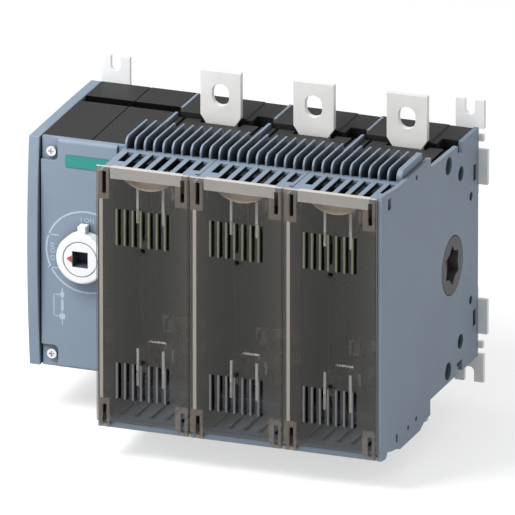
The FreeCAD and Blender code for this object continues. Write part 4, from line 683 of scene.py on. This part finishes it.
@dataclass
class FuseCovers:
    """The three smoked covers, each with a dark pane, a grip band, and painted light on its edges, its thick
    places and its vent slots.

    Attributes:
        frame: The loaded frame.
        palette: The built finishes.
        pane_t_mm: Thickness of the pane.
        ring_mm: How far the probe rings stand proud of it.
        middle_mm: The vents' middle, from the cover's left edge.
        vent_pitch_mm: Pitch of the vent slots.
        vent_w_mm: Width of a vent slot.
        vents_mm: Lower and upper end of each vent group, below the cover's top, and the finish of its painted
            edge light.
        lit_mm: Width of the strip of painted light left of each slot.
        grip_mm: Left and right end of the grip, from the cover's left edge, and its height.
        smile_drop_mm: How far the thickening reaches below the grip.
        skirt_mm: The pale strip of the left skirt, from the cover's left edge.
        corner_mm: Width of the paler corners and how far they reach down and up.
        pane_h_mm: Height of the pane.
    """

    frame: dict[str, Any]
    palette: Palette
    pane_t_mm: float = 2.0
    ring_mm: float = 0.6
    middle_mm: float = 30.5
    vent_pitch_mm: float = 5.16
    vent_w_mm: float = 2.2
    vents_mm: tuple[tuple[float, float, Finish], ...] = ((-49.0, -26.0, GLOW), (-147.1, -124.1, FOOT_GLOW))
    lit_mm: float = 1.2
    grip_mm: tuple[float, float, float] = (9.3, 55.0, 7.1)
    smile_drop_mm: float = 6.2
    skirt_mm: tuple[float, float] = (2.3, 4.5)
    corner_mm: tuple[float, float, float] = (8.6, 20.5, 15.0)
    pane_h_mm: float = 162.6

    def slots(self) -> list[float]:
        """Give the left edges of the vent slots, from the cover's left edge."""
        first = self.middle_mm - 3 * self.vent_pitch_mm - self.vent_w_mm / 2
        return [first + i * self.vent_pitch_mm for i in range(7)]

    def build_one(self, node: str) -> bpy.types.Object:
        """Copy a cover, cut its pane along its strips and paint them.

        Args:
            node: The cover's node.

        Returns:
            The piece that replaces it.
        """
        low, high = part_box(node)
        width = (high.x - low.x) / MM
        shape = node_shape(self.frame, node)
        edges = {e for slot in self.slots() for e in (slot - self.lit_mm, slot)}
        edges |= {*self.skirt_mm, *self.grip_mm[:2], self.corner_mm[0], width - self.corner_mm[0]}
        levels = {level for group in self.vents_mm for level in group[:2]}
        levels |= {-self.grip_mm[2], -self.corner_mm[1], self.corner_mm[2] - self.pane_h_mm}
        cuts = [(Vector((low.x + e * MM, 0, 0)), Vector((1, 0, 0))) for e in sorted(edges)]
        cuts += [(Vector((0, 0, high.z + e * MM)), Vector((0, 0, 1))) for e in sorted(levels)]
        for point, normal in cuts:
            geometry = [*shape.verts, *shape.edges, *shape.faces]
            bmesh.ops.bisect_plane(shape, geom=geometry, dist=1e-7, plane_co=point, plane_no=normal)
        shape.normal_update()
        place = shape.loops.layers.uv.new("place")
        for face in shape.faces:
            for loop in face.loops:
                across = (loop.vert.co.x - low.x) / (high.x - low.x)
                loop[place].uv = (across, (loop.vert.co.z - low.z) / (high.z - low.z))

        def paint(middle: Vector, normal: Vector) -> Finish | None:
            """Choose the finish of one face of this cover."""
            return self.finish_at((middle.x - low.x) / MM, (middle.y - low.y) / MM - self.ring_mm,
                                  (middle.z - high.z) / MM, normal, width)

        return dressed_copy(self.frame, node, shape, self.palette, Weld.CRISP, paint)

    def finish_at(self, x: float, y: float, z: float, normal: Vector, width: float) -> Finish | None:
        """Choose a face's finish, with painted light on the thick grip, the vent edges, the top edge, the
        side edges, the corners and the skirt.

        Args:
            x: Millimetres right of the cover's left edge.
            y: Millimetres behind the pane's front.
            z: Millimetres above the cover's top, so below zero.
            normal: The face's normal.
            width: The cover's width in millimetres.

        Returns:
            The finish, or None for the smoked pane.
        """
        left, right, grip_h = self.grip_mm
        if y > self.pane_t_mm + 0.1:
            # Painted light: the thick grip behind the band
            thick = -grip_h - self.smile_drop_mm - 0.2 < z and abs(x - (left + right) / 2) < 16.0
            return SMILE if thick else None
        # Painted light on the cut edges of the vent slots and on a strip left of each
        for floor, top, lit in self.vents_mm:
            for slot in self.slots():
                strip = slot - self.lit_mm < x < slot and normal.y < -0.9
                wall = abs(x - slot) < 0.02 and normal.x > 0.9
                if (strip or wall) and floor < z < top:
                    return lit
        # Painted highlight on the top edge, painted light on the side edges
        if normal.z > 0.9 and z > -0.1:
            return CREST
        if abs(normal.x) > 0.9 and (x < 0.1 or x > width - 0.1):
            return EDGE
        if normal.y > 0.9:
            return INNER_FACE
        if normal.y > -0.9:
            return None
        corner_w, corner_top, corner_low = self.corner_mm
        if z > -grip_h and left < x < right:
            return BAND
        # Painted light on the thicker corners and on the skirt's strip
        if (x < corner_w or x > width - corner_w) and (z > -corner_top or z < corner_low - self.pane_h_mm):
            return CORNER
        if self.skirt_mm[0] < x < self.skirt_mm[1]:
            return RIM
        return None

    def build(self) -> list[bpy.types.Object]:
        """Dress every cover of the frame."""
        return [self.build_one(node) for node in self.frame["nodes"] if node.startswith("fuse_cover")]


@dataclass
class FrontPrint:
    """The white print on the mechanism's front plate.

    Attributes:
        frame: The loaded frame.
        palette: The built finishes.
        ring_r_mm: Mean radius of the printed circle round the drum.
        ring_shift_mm: How far the print's middle lies right of and above the drum's axis.
        line_mm: Width of a printed line.
        text_mm: Height of the printed letters; not used.
    """

    frame: dict[str, Any]
    palette: Palette
    ring_r_mm: float = 25.9
    ring_shift_mm: tuple[float, float] = (0.8, 1.8)
    line_mm: float = 1.1
    text_mm: float = 4.6
    film_mm: float = 0.08

    def __post_init__(self) -> None:
        """Read the plate's face and the drum's axis from the frame."""
        low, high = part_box("mech_front_plate")
        drum_low, drum_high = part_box("operating_drum")
        self.face = low.y
        self.plate = (low, high)
        joints = self.frame["record"]["behaviour"]["joints"]
        turn = next(joint for joint in joints if joint["name"] == "handle_turn")
        shift = Vector((self.ring_shift_mm[0], 0, self.ring_shift_mm[1])) * MM
        self.centre = Vector((turn["pos_m"][0], self.face, turn["pos_m"][2])) + shift

    def film(self, name: str, shape: bmesh.types.BMesh) -> bpy.types.Object:
        """Turn a flat outline on the plate's plane into a thin printed film.

        Args:
            name: The piece's name.
            shape: Faces in the plane y = 0, facing -Y.

        Returns:
            The piece, riding on the housing.
        """
        depth = self.film_mm * MM
        bmesh.ops.translate(shape, verts=shape.verts, vec=Vector((0, self.face, 0)))
        made = bmesh.ops.extrude_face_region(shape, geom=list(shape.faces))
        verts = [v for v in made["geom"] if isinstance(v, bmesh.types.BMVert)]
        bmesh.ops.translate(shape, verts=verts, vec=Vector((0, -depth, 0)))
        bmesh.ops.recalc_face_normals(shape, faces=shape.faces)
        mesh = bpy.data.meshes.new(name)
        shape.to_mesh(mesh)
        shape.free()
        piece = mesh_object(name, mesh, [self.palette.get(PRINT)])
        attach(piece, "housing")
        return piece

    def bar(self, shape: bmesh.types.BMesh, x0: float, z0: float, x1: float, z1: float) -> None:
        """Add an upright or level printed bar between two corners, in millimetres from the drum's axis."""
        spot = self.centre + Vector(((x0 + x1) / 2, 0, (z0 + z1) / 2)) * MM
        turn = Matrix.Rotation(math.pi / 2, 4, "X")
        size = Matrix.Diagonal((abs(x1 - x0) * MM, abs(z1 - z0) * MM, 1, 1))
        bmesh.ops.create_grid(shape, x_segments=1, y_segments=1, size=0.5,
                              matrix=Matrix.Translation((spot.x, 0, spot.z)) @ turn @ size)

    def circle(self) -> bpy.types.Object:
        """The printed circle round the drum."""
        shape = bmesh.new()
        segments = 96
        inner = (self.ring_r_mm - self.line_mm / 2) * MM
        outer = (self.ring_r_mm + self.line_mm / 2) * MM
        turn = Matrix.Translation((self.centre.x, 0, self.centre.z)) @ Matrix.Rotation(math.pi / 2, 4, "X")
        rings = [
            bmesh.ops.create_circle(shape, segments=segments, radius=radius, matrix=turn)["verts"]
            for radius in (inner, outer)
        ]
        edges = list({edge for ring in rings for vert in ring for edge in vert.link_edges})
        bmesh.ops.bridge_loops(shape, edges=edges)
        return self.film("dial_circle_print", shape)

    def ticks(self) -> bpy.types.Object:
        """Two short lines each side of the OFF field, from the drum out to the circle."""
        shape = bmesh.new()
        for z in (8.6, -12.4):
            self.bar(shape, -25.0, z, -18.0, z + 0.7)
        return self.film("dial_tick_print", shape)

    def symbol(self) -> bpy.types.Object:
        """The general circuit sign: a fuse link between two switch contacts, with its long side bar."""
        shape = bmesh.new()
        x = -15.7
        self.bar(shape, x - 0.35, -27.2, x + 0.35, -24.4)
        self.bar(shape, x - 1.2, -30.4, x + 1.2, -27.2)
        self.bar(shape, x - 0.35, -32.4, x + 0.35, -30.4)
        self.bar(shape, x - 0.8, -38.8, x + 0.8, -32.4)
        self.bar(shape, x - 0.35, -41.2, x + 0.35, -38.8)
        self.bar(shape, x - 1.8, -44.6, x + 1.8, -41.2)
        self.bar(shape, x - 0.35, -48.2, x + 0.35, -44.6)
        self.bar(shape, x - 5.6, -29.4, x - 1.2, -28.7)
        self.bar(shape, x - 5.6, -43.3, x - 1.8, -42.6)
        self.bar(shape, x - 5.8, -43.3, x - 5.1, -28.7)
        return self.film("circuit_sign_print", shape)

    def words(self, name: str, text: str, x: float, z: float, height: float,
              turn_deg: float = 0.0) -> bpy.types.Object:
        """Print plain capitals.

        Args:
            name: The piece's name.
            text: The letters.
            x: Millimetres right of the drum's axis.
            z: Millimetres above it.
            height: Height of the letters in millimetres.
            turn_deg: Turn in the plate's plane.

        Returns:
            The printed piece.
        """
        curve = bpy.data.curves.new(name, "FONT")
        curve.body = text
        curve.size = height * MM * 1.4
        curve.align_x, curve.align_y = "CENTER", "CENTER"
        curve.extrude = self.film_mm * MM
        source = bpy.data.objects.new(name + "_curve", curve)
        bpy.context.scene.collection.objects.link(source)
        graph = bpy.context.evaluated_depsgraph_get()
        mesh = bpy.data.meshes.new_from_object(source.evaluated_get(graph))
        bpy.data.objects.remove(source)
        place = Matrix.Translation(self.centre + Vector((x, 0, z)) * MM)
        stand = Matrix.Rotation(math.pi / 2, 4, "X")
        mesh.transform(place @ Matrix.Rotation(math.radians(turn_deg), 4, "Y") @ stand)
        piece = mesh_object(name, mesh, [self.palette.get(PRINT)])
        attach(piece, "housing")
        return piece

    def build(self) -> list[bpy.types.Object]:
        """Make all print of the front plate."""
        return [
            self.circle(),
            self.ticks(),
            self.symbol(),
            self.words("on_print", "I ON", 0.6, 20.4, 3.0),
            self.words("off_print", "O OFF", -21.6, -1.6, 3.0, -90.0),
        ]


@dataclass
class Studio:
    """The pale floor, the soft lights and the camera at the photograph's angle.

    Attributes:
        azimuth_deg: How far the camera stands to the right of the object's front.
        elevation_deg: How far above the horizon it stands.
        px_per_mm: The picture's scale at the object.
        centre_mm: The point of the object in the middle of the picture.
        distance_m: The camera's distance; far, because the photograph's view is almost parallel.
        key_place_m: Where the near lamp stands, above and left of the front.
        key_w: Its power in watts.
        fill_place_m: Where the broad lamp stands, to the right.
        fill_w: Its power in watts.
        sky_level: Strength of the sky for all but the camera.
        floor_glow: How far the floor glows by itself for the camera and in mirrors.
    """

    azimuth_deg: float = 20.44
    elevation_deg: float = 19.6
    px_per_mm: float = 1.656
    centre_mm: tuple[float, float, float] = (9.55, -89.0, 4.7)
    distance_m: float = 13.5
    key_place_m: tuple[float, float, float] = (-0.4, -0.6, 0.72)
    key_w: float = 8.8
    fill_place_m: tuple[float, float, float] = (2.6, -1.6, 1.2)
    fill_w: float = 4.0
    sky_level: float = 0.57
    floor_glow: float = 0.6

    def camera(self) -> None:
        """Place the long-lens camera."""
        data = bpy.data.cameras.new("camera")
        data.lens = data.sensor_width * self.px_per_mm * self.distance_m / MM / PICTURE_PX
        data.clip_end = 2 * self.distance_m
        view = bpy.data.objects.new("camera", data)
        a, e = math.radians(self.azimuth_deg), math.radians(self.elevation_deg)
        back = Vector((math.sin(a) * math.cos(e), -math.cos(a) * math.cos(e), math.sin(e)))
        view.location = Vector(self.centre_mm) * MM + back * self.distance_m
        view.rotation_mode = "QUATERNION"
        view.rotation_quaternion = (-back).to_track_quat("-Z", "Y")
        bpy.context.scene.collection.objects.link(view)
        bpy.context.scene.camera = view

    def floor(self) -> None:
        """A pale floor just below the lowest point, white to the camera and soft in shadow."""
        low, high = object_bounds()
        shape = bmesh.new()
        level = Matrix.Translation((0, 0, low.z - 0.2 * MM))
        bmesh.ops.create_grid(shape, x_segments=1, y_segments=1, size=6.0, matrix=level)
        mesh = bpy.data.meshes.new("floor")
        shape.to_mesh(mesh)
        shape.free()
        material = bpy.data.materials.new("floor_pale")
        material.use_nodes = True
        tree = material.node_tree
        shader = tree.nodes["Principled BSDF"]
        shader.inputs["Base Color"].default_value = linear("#BEBEBE")
        shader.inputs["Roughness"].default_value = 0.9
        shader.inputs["Emission Color"].default_value = linear("#FFFFFF")
        rays = add_node(tree, "LightPath")
        seen = add_node(tree, "Math", {"operation": "MAXIMUM"})
        tree.links.new(rays.outputs["Is Camera Ray"], seen.inputs[0])
        tree.links.new(rays.outputs["Is Glossy Ray"], seen.inputs[1])
        glow = add_node(tree, "Math", {"operation": "MULTIPLY"})
        tree.links.new(seen.outputs["Value"], glow.inputs[0])
        glow.inputs[1].default_value = self.floor_glow
        tree.links.new(glow.outputs["Value"], shader.inputs["Emission Strength"])
        mesh_object("floor", mesh, [material])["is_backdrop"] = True

    def lamp(self, name: str, place: tuple[float, float, float], size: float, power: float) -> None:
        """Add a soft area lamp aimed at the object.

        Args:
            name: The lamp's name.
            place: Where it stands, in metres.
            size: The side of its square.
            power: Its power in watts.
        """
        data = bpy.data.lights.new(name, "AREA")
        data.size = size
        data.energy = power
        lamp = bpy.data.objects.new(name, data)
        lamp.location = place
        aim = Vector(self.centre_mm) * MM - Vector(place)
        lamp.rotation_mode = "QUATERNION"
        lamp.rotation_quaternion = aim.to_track_quat("-Z", "Y")
        bpy.context.scene.collection.objects.link(lamp)

    def world(self) -> None:
        """An even pale sky, white to the camera."""
        world = bpy.data.worlds.new("sky")
        bpy.context.scene.world = world
        world.use_nodes = True
        tree = world.node_tree
        sky = tree.nodes["Background"]
        sky.inputs["Color"].default_value = linear("#FFFFFF")
        rays = add_node(tree, "LightPath")
        level = add_node(tree, "MapRange", {"To Min": self.sky_level, "To Max": 1.0},
                         {"Value": rays.outputs["Is Camera Ray"]})
        tree.links.new(level.outputs["Result"], sky.inputs["Strength"])

    def build(self) -> None:
        """Make the whole studio."""
        self.camera()
        self.floor()
        self.world()
        self.lamp("key", self.key_place_m, 0.45, self.key_w)
        self.lamp("fill", self.fill_place_m, 1.8, self.fill_w)
        scene = bpy.context.scene
        scene.view_settings.view_transform = "Standard"


def main() -> None:
    """Load the frame, dress it and set up the picture."""
    logging.basicConfig(level=logging.INFO, format="%(message)s")
    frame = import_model()
    palette = Palette()
    made = Housing(frame, palette).build()
    made += FuseCovers(frame, palette).build()
    made += FrontPrint(frame, palette).build()
    for piece in made:
        LOG.info("piece %s", piece.name)
    Studio().build()


if __name__ == "__main__":
    main()
